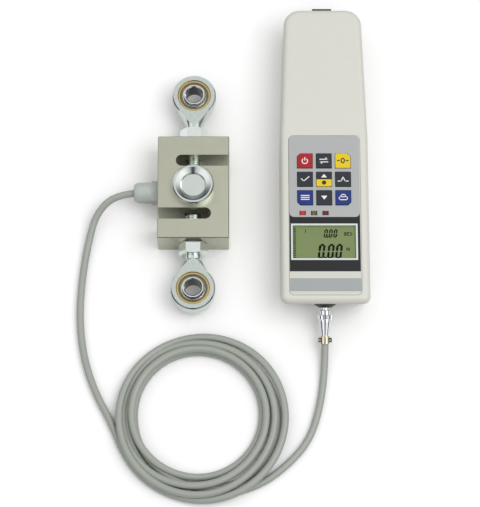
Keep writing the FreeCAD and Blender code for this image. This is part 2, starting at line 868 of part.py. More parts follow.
def port_jack_screws():
    """Two hexagonal jack screws beside the port."""
    screws = []
    flange_y = display_top_y - wall
    for side in (-1, 1):
        start = V(display_x + side * jack_offset, flange_y, port_centre_z)
        body = hexagon(jack_across_flats, start, Y_AXIS, wall + jack_length, Z_AXIS)
        stem = cylinder(board_screw_diameter / 2 - thread_gap, start - Y_AXIS * port_flange_thickness, Y_AXIS,
                        port_flange_thickness)
        bore = cylinder(board_screw_diameter / 2, start + Y_AXIS * wall, Y_AXIS, jack_length)
        screws.append(body.fuse(stem).cut(bore))
    return screws


def socket_point(along):
    """A point on the socket's axis, measured outwards from the sloping end face."""
    return V(display_x, socket_y, socket_z) + plug_axis * along


def sensor_socket():
    """Socket with its flange inside the wall and its barrel through it."""
    flange = socket_flange_diameter / 2
    barrel = socket_barrel / 2
    neck = barrel + socket_neck_wall
    back = -wall - socket_flange_thickness - socket_inside_length
    tip = ring_start - socket_step
    profile = [
        (back, 0), (back, neck), (-wall - socket_flange_thickness, neck),
        (-wall - socket_flange_thickness, flange), (-wall, flange), (-wall, neck), (socket_step, neck),
        (socket_step, barrel), (tip, barrel), (tip, socket_bore / 2),
        (collar_start, socket_bore / 2), (collar_start, 0),
    ]
    return revolved(profile, V(display_x, socket_y, socket_z), plug_axis)


def socket_nut():
    """Dark conical nut on the outside of the sloping end."""
    profile = [
        (0, socket_barrel / 2 + socket_neck_wall + running_gap), (0, socket_nut_diameter / 2),
        (socket_nut_edge, socket_nut_diameter / 2), (socket_nut_length, socket_nut_tip / 2),
        (socket_nut_length, socket_barrel / 2 + running_gap),
        (socket_step + running_gap, socket_barrel / 2 + running_gap),
        (socket_step + running_gap, socket_barrel / 2 + socket_neck_wall + running_gap),
    ]
    return revolved(profile, V(display_x, socket_y, socket_z), plug_axis)


def plug_shell():
    """Front collar, the sleeve under the coupling ring and the long tapered body."""
    inner = socket_barrel / 2 + running_gap
    sleeve = sleeve_diameter / 2
    profile = [
        (collar_start, inner), (collar_start, collar_diameter / 2 - plug_edge),
        (collar_start + plug_edge, collar_diameter / 2), (ring_start, collar_diameter / 2),
        (ring_start, sleeve), (taper_start_at, sleeve), (taper_start_at, taper_large / 2),
        (taper_start_at + taper_straight, taper_large / 2), (clamp_start, taper_small / 2),
        (clamp_start, taper_small / 2 - plug_wall), (taper_start_at, inner), (ring_start, inner),
    ]
    return revolved(profile, V(display_x, socket_y, socket_z), plug_axis)


def coupling_ring():
    """Knurled ring that turns on the plug's sleeve."""
    inner = sleeve_diameter / 2 + running_gap
    outer = ring_diameter / 2
    start, end = ring_start + running_gap, taper_start_at - running_gap
    profile = [(start, inner), (start, outer - plug_edge), (start + plug_edge, outer),
               (end - plug_edge, outer), (end, outer - plug_edge), (end, inner)]
    ring = revolved(profile, V(0, 0, 0), Z_AXIS)
    cuts = []
    for index in range(ring_grooves):
        groove = Part.makeBox(ring_groove_width, ring_groove_width, ring_length * 2)
        groove.rotate(V(0, 0, 0), Z_AXIS, -45)
        groove.translate(V(outer - ring_groove_depth, 0, ring_start - ring_length / 2))
        groove.rotate(V(0, 0, 0), Z_AXIS, 360 / ring_grooves * index)
        cuts.append(groove)
    ring = ring.cut(cuts)
    ring.Placement = FreeCAD.Placement(V(display_x, socket_y, socket_z), FreeCAD.Rotation(Z_AXIS, plug_axis))
    return ring


def clamp_shape():
    """Cable clamp behind the tapered body, with an ear on each side, built along Z."""
    ring = Part.makeCylinder(clamp_diameter / 2, clamp_length, V(0, 0, clamp_start))
    ears = Part.makeBox(clamp_width, clamp_ear_height * 2, clamp_length * clamp_ear_share,
                        V(-clamp_width / 2, -clamp_ear_height,
                          clamp_start + clamp_length * (1 - clamp_ear_share) / 2))
    solid = ring.fuse(ears)
    solid = solid.cut(Part.makeCylinder(cord_radius + running_gap, clamp_length, V(0, 0, clamp_start)))
    for side in (-1, 1):
        solid = solid.cut(clamp_screw_bore(side, clamp_screw_diameter / 2))
    return solid


def clamp_screw_bore(side, radius):
    """Room for one clamp screw, across the ears."""
    x = side * (clamp_width / 2 - clamp_screw_diameter / 2 - clamp_ear_edge)
    return Part.makeCylinder(radius, clamp_ear_height * 2,
                             V(x, -clamp_ear_height, clamp_start + clamp_length / 2), Y_AXIS)


def place_on_plug(solid):
    """Move a body built along Z onto the plug's axis."""
    turn = FreeCAD.Rotation(X_AXIS, V(0, 0, 0), plug_axis, "ZXY")
    placed = solid.copy()
    placed.Placement = FreeCAD.Placement(V(display_x, socket_y, socket_z), turn)
    return placed


def clamp_screws():
    """Two small screws that close the clamp."""
    screws = []
    for side in (-1, 1):
        screws.append(place_on_plug(clamp_screw_bore(side, clamp_screw_diameter / 2 - thread_gap)))
    return screws


def plug_contacts():
    """Insulator with its contact pin, inside the plug."""
    start = ring_start
    end = taper_start_at + insulator_tail
    radius = socket_barrel / 2 - insulator_gap
    profile = [(start, 0), (start, radius), (end, radius), (end, 0)]
    body = revolved(profile, V(display_x, socket_y, socket_z), plug_axis)
    pin_radius = socket_bore / 2 - pin_gap
    pin = cylinder(pin_radius, socket_point(collar_start + pin_gap), plug_axis, collar_length)
    return body.fuse(pin)


def load_cell_body():
    """S-shaped body: a block with a slot from each side, a gauge cavity and tapped ends."""
    half_w, half_l = cell_width / 2, cell_body_length / 2
    block = centred_box(cell_x, cell_y, cell_width, cell_body_length, 0, cell_depth)
    block = block.makeChamfer(edge_break, block.Edges)
    cuts = []
    for side in (-1, 1):
        blind_x = cell_x - side * (half_w - slot_end_wall - slot_height / 2)
        open_x = cell_x + side * (half_w + 1)
        y = cell_y + side * slot_centre
        low, high = min(blind_x, open_x), max(blind_x, open_x)
        cuts.append(box(low, high, y - slot_height / 2, y + slot_height / 2, 0, cell_depth))
        cuts.append(cylinder(slot_height / 2, (blind_x, y, 0), Z_AXIS, cell_depth))
        start = (cell_x, y, cell_axis_z)
        toward_end = Y_AXIS * side
        cuts.append(cylinder(shank_diameter / 2 + running_gap / 2, start, toward_end, half_l))
        reach = slot_height / 2 + tip_relief_depth
        cuts.append(cylinder(tip_relief_diameter / 2, start, toward_end * -1, reach))
    upper_z = cell_axis_z + gauge_web / 2
    lower_depth = cell_axis_z - gauge_web / 2
    cuts.append(cylinder(gauge_bore / 2, (cell_x, cell_y, upper_z), Z_AXIS, cell_depth))
    cuts.append(cylinder(gauge_bore / 2, (cell_x, cell_y, 0), Z_AXIS, lower_depth))
    cuts.append(cylinder(cap_seat_diameter / 2, (cell_x, cell_y, 0), Z_AXIS, cap_seat_depth))
    cuts.append(cylinder(cap_seat_diameter / 2, (cell_x, cell_y, cell_depth - cap_seat_depth),
                         Z_AXIS, cap_seat_depth))
    cuts.append(cylinder(gland_thread / 2, (cell_left_x, cell_y, cell_axis_z), X_AXIS, gland_thread_length))
    lead_length = half_w - gauge_bore / 2
    cuts.append(cylinder(lead_bore / 2, (cell_left_x, cell_y, cell_axis_z), X_AXIS, lead_length + 1))
    return block.cut(cuts)


def front_cap():
    """Dished round cap over the gauge cavity."""
    outer, floor = cap_diameter / 2, cap_floor_diameter / 2
    rim = outer - cap_rim_width
    bowl = cap_rise - cap_dish_depth
    profile = [
        (-cap_seat_depth, 0), (-cap_seat_depth, cap_seat_diameter / 2 - running_gap),
        (0, cap_seat_diameter / 2 - running_gap), (0, outer), (cap_rise - cap_edge, outer),
        (cap_rise, outer - cap_edge), (cap_rise, rim), (bowl + cap_floor_round, floor + cap_floor_round),
        (bowl, floor), (bowl, 0),
    ]
    return revolved(profile, V(cell_x, cell_y, cell_depth), Z_AXIS)


def rear_cap():
    """Flat disc that closes the cavity from behind, flush with the back."""
    start = (cell_x, cell_y, rear_cap_sink)
    return cylinder(cap_seat_diameter / 2 - running_gap, start, Z_AXIS, cap_seat_depth - rear_cap_sink)


def strain_gauges():
    """Four foil gauges bonded to the two faces of the web."""
    gauges = []
    for z in (cell_axis_z + gauge_web / 2, cell_axis_z - gauge_web / 2 - gauge_thickness):
        for side in (-1, 1):
            gauges.append(centred_box(cell_x + side * gauge_offset, cell_y, gauge_width, gauge_height,
                                      z, z + gauge_thickness))
    return gauges


def terminal_board():
    """Small round solder board on the web between the gauges."""
    z = cell_axis_z + gauge_web / 2
    return centred_box(cell_x, cell_y - terminal_offset, terminal_width, terminal_height,
                       z, z + terminal_thickness)


def gland_body():
    """Hexagon against the cell's side, thread inside it and a clamping spigot outside."""
    start = V(cell_left_x, cell_y, cell_axis_z)
    left = X_AXIS * -1
    body = hexagon(gland_hex, start, left, gland_hex_length, Y_AXIS)
    thread = cylinder(gland_thread / 2 - running_gap, start, X_AXIS, gland_thread_length - fit)
    spigot = cylinder(gland_spigot / 2, start, left, gland_hex_length + gland_spigot_length)
    bore = cylinder(cord_radius + gland_bore_gap, start + X_AXIS * gland_thread_length, left,
                    gland_thread_length + gland_hex_length + gland_spigot_length)
    return body.fuse([thread, spigot]).cut(bore)


def gland_nut():
    """Domed nut that squeezes the seal on the cable."""
    outer, mouth = gland_nut_diameter / 2, gland_nut_mouth / 2
    thread = gland_spigot / 2 + running_gap
    hollow_end = gland_nut_length - gland_nut_end_wall
    bore = cord_radius + gland_bore_gap
    centre_along = gland_nut_length - gland_nut_round
    profile = [(0, thread), (0, outer)]
    for step in range(7):
        angle = math.radians(15 * step)
        along = centre_along + gland_nut_round * math.sin(angle)
        profile.append((along, mouth + (outer - mouth) * math.cos(angle)))
    profile += [(gland_nut_length, bore), (hollow_end, bore), (hollow_end, thread)]
    start = V(cell_left_x - gland_hex_length, cell_y, cell_axis_z)
    return revolved(profile, start, X_AXIS * -1)


def gland_seal():
    """Rubber sleeve between the spigot and the cable."""
    start = cell_left_x - gland_hex_length - gland_spigot_length
    length = gland_nut_length - gland_nut_end_wall - gland_spigot_length - gland_seal_gap
    outer = gland_spigot / 2 - gland_seal_gap
    profile = [(0, cord_radius), (0, outer), (length, outer), (length, cord_radius)]
    return revolved(profile, V(start, cell_y, cell_axis_z), X_AXIS * -1)


def eye_point(side):
    """Centre of a rod end's ball; side is +1 for the upper one."""
    return V(cell_x, cell_y + side * (cell_body_length / 2 + eye_distance), cell_axis_z)


def rod_end(side):
    """Eye, neck and threaded shank that reaches through the bar into the slot."""
    centre = eye_point(side)
    toward = Y_AXIS * -side
    eye = cylinder(eye_diameter / 2, centre - Z_AXIS * (eye_thickness / 2), Z_AXIS, eye_thickness)
    eye = eye.makeChamfer(eye_edge, [edge for edge in eye.Edges if isinstance(edge.Curve, Part.Circle)])
    # The neck's flanks leave the round head as tangents and end at the shank.
    reach = math.hypot(eye_neck_end, shank_diameter / 2)
    leave = math.atan2(shank_diameter / 2, eye_neck_end) + math.acos(eye_diameter / 2 / reach)
    start, radius = eye_diameter / 2 * math.cos(leave), eye_diameter / 2 * math.sin(leave)
    neck = Part.makeCone(radius, shank_diameter / 2, eye_neck_end - start, centre + toward * start, toward)
    slab = Part.makeBox(2 * eye_diameter, 4 * eye_diameter, eye_thickness,
                        centre - V(eye_diameter, 2 * eye_diameter, eye_thickness / 2))
    neck = neck.common(slab)
    tip = eye_distance + bar_height + shank_reach
    root = race_outer / 2
    shank = cylinder(shank_diameter / 2 - thread_gap, centre + toward * root, toward, tip - root)
    tip_y = (centre + toward * tip).y
    ends = [edge for edge in shank.Edges if abs(edge.CenterOfMass.y - tip_y) < thread_gap]
    shank = shank.makeChamfer(shank_tip_chamfer, ends)
    first = tip - shank_tip_chamfer - thread_groove
    shank = shank.cut([Part.makeTorus(shank_diameter / 2, thread_groove,
                                      centre + toward * (first - turn * thread_pitch), toward)
                       for turn in range(thread_turns_seen)])
    solid = eye.fuse([neck, shank])
    return solid.cut(cylinder(race_outer / 2, centre - Z_AXIS * eye_thickness, Z_AXIS, 2 * eye_thickness))


def race(side):
    """Race with a spherical bore, pressed into the eye."""
    half = race_width / 2
    outer = race_outer / 2 - press_gap
    profile = [(-half, race_outer / 4), (-half, outer - race_chamfer), (-half + race_chamfer, outer),
               (half - race_chamfer, outer), (half, outer - race_chamfer), (half, race_outer / 4)]
    ring = revolved(profile, eye_point(side), Z_AXIS)
    return ring.cut(Part.makeSphere(sphere_diameter / 2, eye_point(side)))


def ball(side):
    """Truncated ball with its bore."""
    centre = eye_point(side)
    sphere = Part.makeSphere(sphere_diameter / 2 - sphere_gap, centre)
    half = ball_width / 2
    slab = Part.makeBox(2 * eye_diameter, 2 * eye_diameter, ball_width,
                        centre - V(eye_diameter, eye_diameter, half))
    body = sphere.common(slab)
    bore = ball_bore / 2
    profile = [(-half, 0), (-half, bore + ball_chamfer), (-half + ball_chamfer, bore),
               (half - ball_chamfer, bore), (half, bore + ball_chamfer), (half, 0)]
    return body.cut(revolved(profile, centre, Z_AXIS))


def lock_nut(side):
    """Hexagon nut between the neck and the cell, turned down at both faces."""
    toward = Y_AXIS * side
    start = V(cell_x, cell_y, cell_axis_z) + toward * (cell_body_length / 2)
    nut = hexagon(lock_nut_flats, start, toward, lock_nut_height, Z_AXIS)
    corner = lock_nut_flats / math.sqrt(3)
    flat = lock_nut_flats / 2
    rise = (corner - flat) * math.tan(math.radians(lock_nut_chamfer_deg)) + fit
    face, widest = flat * lock_nut_edge_share, corner + running_gap
    profile = [(0, 0), (0, face), (rise, widest), (lock_nut_height - rise, widest),
               (lock_nut_height, face), (lock_nut_height, 0)]
    nut = nut.common(revolved(profile, start, toward))
    return nut.cut(cylinder(shank_diameter / 2 + running_gap / 2, start, toward, lock_nut_height))


def route_wire(points):
    """Straight runs joined by tangent arcs as large as the runs allow; prints the radii."""
    corners = [V(*point) for point in points]
    edges, radii = [], []
    here = corners[0]
    for before, corner, after in zip(corners, corners[1:], corners[2:]):
        arrive, leave = corner - before, after - corner
        shorter = min(arrive.Length, leave.Length)
        arrive.normalize()
        leave.normalize()
        turn = arrive.getAngle(leave)
        trim = 0.45 * shorter
        radii.append(round(trim / math.tan(turn / 2), 1))
        start, end = corner - arrive * trim, corner + leave * trim
        inward = leave - arrive
        inward.normalize()
        radius = trim / math.tan(turn / 2)
        middle = corner + inward * (radius / math.cos(turn / 2) - radius)
        edges.append(Part.makeLine(here, start))
        edges.append(Part.Arc(start, middle, end).toShape())
        here = end
    edges.append(Part.makeLine(here, corners[-1]))
    print("arc radii", radii)
    return Part.Wire(edges)


def cord_tube(points):
    """A round tube of the cable's diameter along a route."""
    path = route_wire(points)
    direction = V(*points[1]) - V(*points[0])
    direction.normalize()
    section = Part.Wire(Part.makeCircle(cord_radius, V(*points[0]), direction))
    tube = path.makePipeShell([section], True, False)
    expected = math.pi * cord_radius ** 2 * path.Length
    print("cord length %.1f, volume over section times length %.4f" % (path.Length, tube.Volume / expected))
    return tube


def cord_coil():
    """The outer shape of the loose coil of cable on the table."""
    height = coil_layers * cord_diameter
    outer = cylinder(coil_outer_radius, (coil_outer_x, coil_outer_y, 0), Z_AXIS, height)
    outer = outer.makeFillet(coil_round, rim_edges(outer, 0) + rim_edges(outer, height))
    return outer.cut(cylinder(coil_hole_radius, (coil_hole_x, coil_hole_y, 0), Z_AXIS, height))


def build_display_unit():
    """Write every node of the display unit."""
    glass, window, ring = screen_parts()
    save("front_housing", front_housing())
    save("rear_housing", rear_housing())
    save("housing_screws", *housing_screws())
    save("mounting_inserts", *mounting_inserts())
    save("front_insert", front_insert())
    save("keypad_overlay", keypad_overlay())
    save("display_panel", display_panel())
    save("label_strip", label_plan(0, housing_depth - label_thickness, housing_depth))
    save("display_frame", ring)
    save("display_window", window)
    save("crystal_glass", glass)
    save("front_board", front_board())
    save("snap_domes", *snap_domes())
    save("status_lights", *status_lights())
    save("main_circuit_board", *main_circuit_board())
    save("board_screws", *board_screws())
    save("battery_holder", battery_holder())
    save("battery_cells", *battery_cells())
    save("data_port", data_port())
    save("port_jack_screws", *port_jack_screws())
    save("sensor_socket", sensor_socket())
    save("socket_nut", socket_nut())
    for row, names in enumerate(KEY_NAMES):
        for column, name in enumerate(names):
            save(name, key(row, column))


def build_load_cell():
    """Write every node of the load cell and its rod ends."""
    save("load_cell_body", load_cell_body())
    save("front_cap", front_cap())
    save("rear_cap", rear_cap())
    save("strain_gauges", *strain_gauges())
    save("terminal_board", terminal_board())
    save("gland_body", gland_body())
    save("gland_nut", gland_nut())
    save("gland_seal", gland_seal())
    for side, place in ((1, "upper"), (-1, "lower")):
        save(place + "_rod_end", rod_end(side))
        save(place + "_race", race(side))
        save(place + "_ball", ball(side))
        save(place + "_lock_nut", lock_nut(side))


def build_cable():
    """Write the plug and the cable."""
    save("plug_shell", plug_shell())
    save("coupling_ring", coupling_ring())
    save("plug_clamp", place_on_plug(clamp_shape()))
    save("clamp_screws", *clamp_screws())
    save("plug_contacts", plug_contacts())
    save("cord_from_cell", cord_tube(CELL_ROUTE))
    save("cord_coil", cord_coil())
    save("cord_to_plug", cord_tube(PLUG_ROUTE))


os.makedirs("parts", exist_ok=True)
build_display_unit()
build_load_cell()
build_cable()
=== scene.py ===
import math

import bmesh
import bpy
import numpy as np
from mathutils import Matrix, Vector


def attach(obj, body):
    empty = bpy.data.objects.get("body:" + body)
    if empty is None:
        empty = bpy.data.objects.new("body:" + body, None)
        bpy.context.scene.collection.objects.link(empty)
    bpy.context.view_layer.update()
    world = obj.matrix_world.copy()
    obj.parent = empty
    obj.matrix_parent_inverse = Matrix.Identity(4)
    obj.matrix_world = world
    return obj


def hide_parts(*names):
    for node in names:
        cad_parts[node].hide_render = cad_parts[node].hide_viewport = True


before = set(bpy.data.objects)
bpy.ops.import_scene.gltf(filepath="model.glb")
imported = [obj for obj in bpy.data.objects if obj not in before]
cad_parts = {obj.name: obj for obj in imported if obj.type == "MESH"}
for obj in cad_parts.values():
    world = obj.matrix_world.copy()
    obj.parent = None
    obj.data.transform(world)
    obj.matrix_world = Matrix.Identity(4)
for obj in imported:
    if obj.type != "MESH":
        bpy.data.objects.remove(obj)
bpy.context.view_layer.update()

# %% [markdown]
# # A digital force gauge with an outside load cell
# This lesson dresses them: a cable with its loose coil, printed keys and screen, plated steel,
# moulded plastic.

MM = 0.001

# %% [markdown]
# ## Where the camera stands
# The picture looks almost straight down on a table, from a little on the near side. Lines that
# are parallel on the object stay almost parallel in the picture, so the camera is far off and
# its lens is long. Tilt, distance and scale were matched to the housing's length and width.
# The camera could also be placed by eye, but three numbers can be checked against real sizes.

# %% The camera
PICTURE_HEIGHT = 507
PIXELS_PER_METRE = 1370.0
VIEW_TILT = math.radians(18.0)
VIEW_DISTANCE = 1.6
VIEW_CENTRE = Vector((-0.0077, -0.0668, 0.0))
SENSOR = 36.0


def linked(name, data):
    """A new object in the scene."""
    made = bpy.data.objects.new(name, data)
    bpy.context.scene.collection.objects.link(made)
    return made


camera_data = bpy.data.cameras.new("photo_camera")
camera_data.sensor_width = SENSOR
camera_data.sensor_fit = "AUTO"
camera_data.lens = SENSOR * VIEW_DISTANCE * PIXELS_PER_METRE / PICTURE_HEIGHT
camera = linked("photo_camera", camera_data)
towards_camera = Vector((0.0, -math.sin(VIEW_TILT), math.cos(VIEW_TILT)))
camera.location = VIEW_CENTRE + towards_camera * VIEW_DISTANCE
camera.rotation_euler = (VIEW_TILT, 0.0, 0.0)
bpy.context.scene.camera = camera
print("lens", round(camera_data.lens, 1), "mm at", [round(v, 3) for v in camera.location])

# %% [markdown]
# ## The cable's route
# The cable is one piece from the gland on the load cell to the plug under the display. It leaves
# the gland straight, comes down to the table, lies in a loose coil and goes up to the plug. The
# two free stretches are a short list of points, and a smooth NURBS line is drawn by them. A
# Bezier curve would do as well, but its handles take more numbers for the same softness.

# %% The free stretches of the cable
CABLE_DIAMETER = 5.2 * MM
LIE = 2.6  # millimetres from the table to the middle of a strand that lies on it
CELL_ROUTE = [
    (-76.2, -24.9, 14.0), (-95.9, -24.9, 14.0), (-112.2, -37.0, 8.2), (-118.7, -60.9, 2.8),
    (-122.5, -88.9, LIE), (-123.5, -118.9, LIE), (-119.7, -146.9, LIE), (-111.2, -171.9, LIE),
    (-99.2, -193.9, LIE),
]
PLUG_ROUTE = [
    (53.2, -134.2, 9.1), (53.2, -153.1, LIE), (49.8, -180.9, LIE), (42.3, -205.9, LIE),
    (27.3, -223.9, LIE), (6.3, -239.9, LIE),
]
print("points on the free stretches", len(CELL_ROUTE) + len(PLUG_ROUTE))

# %% [markdown]
# ## The loose coil
# A coil thrown on a table is no neat helix. Its turns share a band that is narrow at the far left
# and wide at the near right, and each turn lies in its own place in the band, on the table or on
# the turns below it. So each turn is a step round two circles, the band's inner and outer edge,
# and a short plan says how far out and how high the strand lies at each stage of its winding.

# %% The winding plan of the coil
ON_TOP = 7.6  # millimetres from the table to the middle of a strand that lies on another
OUTER_CIRCLE = (-34.8, -190.6, 60.0)
INNER_CIRCLE = (-37.5, -188.0, 46.4)
POINTS_PER_TURN = 18
START_ANGLE = 206.0
COIL_TURN = 5 * 360.0 + 74.0
# degrees wound so far, place across the band from inner 0 to outer 1, height of the centre line
winding_plan = [
    (0, 1.10, LIE), (35, 1.00, LIE), (66, 1.04, 3.6), (90, 1.08, ON_TOP), (125, 1.02, ON_TOP),
    (190, 1.00, ON_TOP), (235, 1.00, 5.0), (265, 1.00, LIE), (295, 1.00, 4.6), (330, 0.98, ON_TOP),
    (385, 0.93, ON_TOP), (425, 0.84, ON_TOP), (470, 0.62, ON_TOP), (540, 0.52, ON_TOP),
    (600, 0.50, 6.6), (635, 0.66, 3.4), (690, 0.76, LIE), (728, 0.70, 5.0), (765, 0.50, ON_TOP),
    (830, 0.24, ON_TOP), (930, 0.10, ON_TOP), (1020, 0.16, ON_TOP), (1075, 0.12, ON_TOP),
    (1120, 0.02, 5.0), (1150, 0.0, LIE), (1330, 0.0, LIE), (1420, -0.04, LIE), (1470, 0.20, LIE),
    (1530, 0.66, LIE), (1590, 0.74, LIE), (1650, 0.50, LIE), (1740, 0.36, LIE), (1790, 0.42, LIE),
    (1840, 0.74, LIE), (COIL_TURN, 0.90, LIE),
]
print("stages of the winding", len(winding_plan), "over", COIL_TURN, "degrees")

# %% [markdown]
# ## From the plan to points
# A hand winds a cable round and round, so the points are spread evenly over the winding, and the
# plan is read between its stages. Eighteen points a turn are enough for a smooth NURBS line. The
# turns could also be drawn by hand, but then a wider band would mean a new drawing.

# %% The points of the coil
def on_circle(circle, angle):
    """The point of a circle, seen from its middle, at an angle."""
    return circle[0] + circle[2] * math.cos(angle), circle[1] + circle[2] * math.sin(angle)


def coil_points():
    """The coil's strand, wound anticlockwise from where the cable comes in."""
    wound, places, heights = zip(*winding_plan)
    count = round(COIL_TURN / 360 * POINTS_PER_TURN)
    points = []
    for step in range(count + 1):
        turned = COIL_TURN * step / count
        angle = math.radians(START_ANGLE + turned)
        place = np.interp(turned, wound, places)
        height = np.interp(turned, wound, heights)
        inner, outer = on_circle(INNER_CIRCLE, angle), on_circle(OUTER_CIRCLE, angle)
        x = inner[0] + (outer[0] - inner[0]) * place
        y = inner[1] + (outer[1] - inner[1]) * place
        points.append((x, y, height))
    return points


route = CELL_ROUTE + coil_points() + PLUG_ROUTE[::-1]
print("cable points", len(route))

# %% [markdown]
# ## The cable itself
# A cable jacket is a round tube of even thickness, pressed out round its wires. A curve with a
# bevel is just that: one NURBS line of order three runs by all the points, ends on its first and
# last point, and carries a round section. A mesh tube would need its own rings at each bend.

# %% The cable as one smooth curve
STEPS_PER_POINT = 6
SECTION_STEPS = 5

cable_curve = bpy.data.curves.new("cable", "CURVE")
cable_curve.dimensions = "3D"
cable_line = cable_curve.splines.new("NURBS")
cable_line.points.add(len(route) - 1)
for point, place in zip(cable_line.points, route):
    point.co = (place[0] * MM, place[1] * MM, place[2] * MM, 1.0)
cable_line.order_u = 3
cable_line.use_endpoint_u = True
cable_curve.resolution_u = STEPS_PER_POINT
cable_curve.bevel_depth = CABLE_DIAMETER / 2
cable_curve.bevel_resolution = SECTION_STEPS
cable_curve.use_fill_caps = True
cable = linked("cable", cable_curve)

# %% [markdown]
# ## One maker for shader nodes
# A finish is built from nodes, small steps that each turn one thing into another. One function
# adds a node with its settings, its constants and its links, and one more turns a printed colour
# into the linear light that the shader wants. Painted picture files could do the same as nodes,
# but a rule in millimetres stays sharp at any distance.

# %% Colour and node helpers
def linear(code):
    """A printed colour such as c8ccc4 as linear light."""
    shares = [int(code[i:i + 2], 16) / 255 for i in (0, 2, 4)]
    light = [s / 12.92 if s <= 0.04045 else ((s + 0.055) / 1.055) ** 2.4 for s in shares]
    return (*light, 1.0)


def add(tree, kind, inputs=None, **settings):
    """One shader node with its settings, constants and links."""
    made = tree.nodes.new("ShaderNode" + kind)
    for name, value in settings.items():
        setattr(made, name, value)
    for name, value in (inputs or {}).items():
        if isinstance(value, bpy.types.NodeSocket):
            tree.links.new(value, made.inputs[name])
        else:
            made.inputs[name].default_value = value
    return made


print("white as linear light", linear("ffffff"))

# %% [markdown]
# ## A worked surface
# Every hard surface on the gauge is a colour, a gloss and a fine relief left by mould, mill or
# plating. A fine noise at the real grain's size drives gloss and relief together, as they belong
# together on the real thing, and a broad noise lets the colour drift a little, as dye, plating and
# handling do. Real grain is often under a tenth of a millimetre. It is drawn two to four times as
# coarse here, so that it still shows from a hand's distance. Where the noise is stretched, the
# grain turns into lines.

# %% The maker of worked surfaces
GLOSS_SPREAD = 0.15
FINE_DETAIL, BROAD_DETAIL = 3.0, 4.0


def surface(name, colour, roughness, metallic=0.0, grain=0.4, depth=0.01, mottle=0.06, ior=1.5,
            mottle_size=9.0, stretch=(1, 1, 1)):
    """A worked surface; grain, depth and mottle_size are in millimetres, mottle is a share."""
    material = bpy.data.materials.new(name)
    material.use_nodes = True
    tree = material.node_tree
    shader = tree.nodes["Principled BSDF"]
    place = add(tree, "TexCoord").outputs["Object"]
    drawn_out = add(tree, "VectorMath", {0: place, 1: stretch}, operation="MULTIPLY").outputs[0]
    fine = add(tree, "TexNoise", {"Vector": drawn_out, "Scale": 1 / (grain * MM),
                                  "Detail": FINE_DETAIL}).outputs[0]
    broad = add(tree, "TexNoise", {"Vector": place, "Scale": 1 / (mottle_size * MM),
                                   "Detail": BROAD_DETAIL}).outputs[0]
    light = linear(colour)[:3]
    darker = [c * (1 - mottle) for c in light] + [1.0]
    lighter = [min(1.0, c * (1 + mottle)) for c in light] + [1.0]
    tint = add(tree, "Mix", {0: broad, 6: darker, 7: lighter}, data_type="RGBA").outputs[2]
    gloss = add(tree, "MapRange", {0: fine, 3: roughness * (1 - GLOSS_SPREAD),
                                   4: roughness * (1 + GLOSS_SPREAD)}).outputs[0]
    relief = add(tree, "Bump", {"Height": fine, "Distance": depth * MM, "Strength": 1.0}).outputs[0]
    for socket, value in (("Base Color", tint), ("Roughness", gloss), ("Normal", relief)):
        tree.links.new(value, shader.inputs[socket])
    shader.inputs["Metallic"].default_value = metallic
    if not metallic:
        shader.inputs["IOR"].default_value = ior
    return material


COLUMNS = ("name", "colour", "roughness", "grain", "depth", "mottle", "ior")
materials = {}


def make_finishes(table, **shared):
    """One material for each row, whose values stand in the order of COLUMNS."""
    for finish, row in table.items():
        materials[finish] = surface(**dict(zip(COLUMNS, row)), **shared)
    print("finishes made", ", ".join(table))


print("values in a row", ", ".join(COLUMNS))

# %% [markdown]
# ## Moulded plastic and rubber
# The housing is ABS, moulded in a tool with a fine spark-eroded grain, so it has a soft sheen and
# no mirror. The gland is polyamide, a touch greyer and less even in tone. The keys are silicone
# rubber, which takes dye well and mirrors least, so their colours look deep. All of them are one
# rule with other numbers, and a table shows side by side what makes one plastic unlike another.

# %% The moulded finishes
# finish: material, colour, roughness, grain, depth of the relief, mottle, index of refraction
moulded = {
    "housing": ("abs_moulded_cream", "d1d1c8", 0.42, 0.35, 0.012, 0.02, 1.54),
    "insert": ("abs_moulded_cream_satin", "cbccc2", 0.38, 0.30, 0.008, 0.02, 1.54),
    "frame": ("abs_moulded_pale_grey", "cfd9d4", 0.35, 0.30, 0.004, 0.02, 1.54),
    "black": ("polyamide_moulded_black", "1d1e20", 0.45, 0.40, 0.010, 0.10, 1.53),
    "gland": ("polyamide_moulded_grey", "b2b9b6", 0.42, 0.35, 0.010, 0.04, 1.53),
    "seal": ("rubber_moulded_black", "242424", 0.60, 0.30, 0.010, 0.06, 1.52),
    "key_red": ("silicone_key_red", "a3041a", 0.42, 0.25, 0.004, 0.05, 1.43),
    "key_yellow": ("silicone_key_yellow", "dec206", 0.42, 0.25, 0.004, 0.04, 1.43),
    "key_blue": ("silicone_key_blue", "052774", 0.42, 0.25, 0.004, 0.05, 1.43),
    "key_dark": ("silicone_key_charcoal", "1d222d", 0.42, 0.25, 0.004, 0.06, 1.43),
}
make_finishes(moulded)

# %% [markdown]
# ## Films, inks and boards
# The keypad and the dark panel are polycarbonate films, printed on their back, so the colour lies
# under an even satin skin. Ink on top of a key is duller than the key. The circuit boards show
# their green mask and the strain gauges their amber foil, where an opening lets the eye in. The
# segments of the screen lie inside the glass, so they mirror nothing themselves. Pictures could be
# laid over these films, but what is printed on them is a few plain shapes, and those come later.

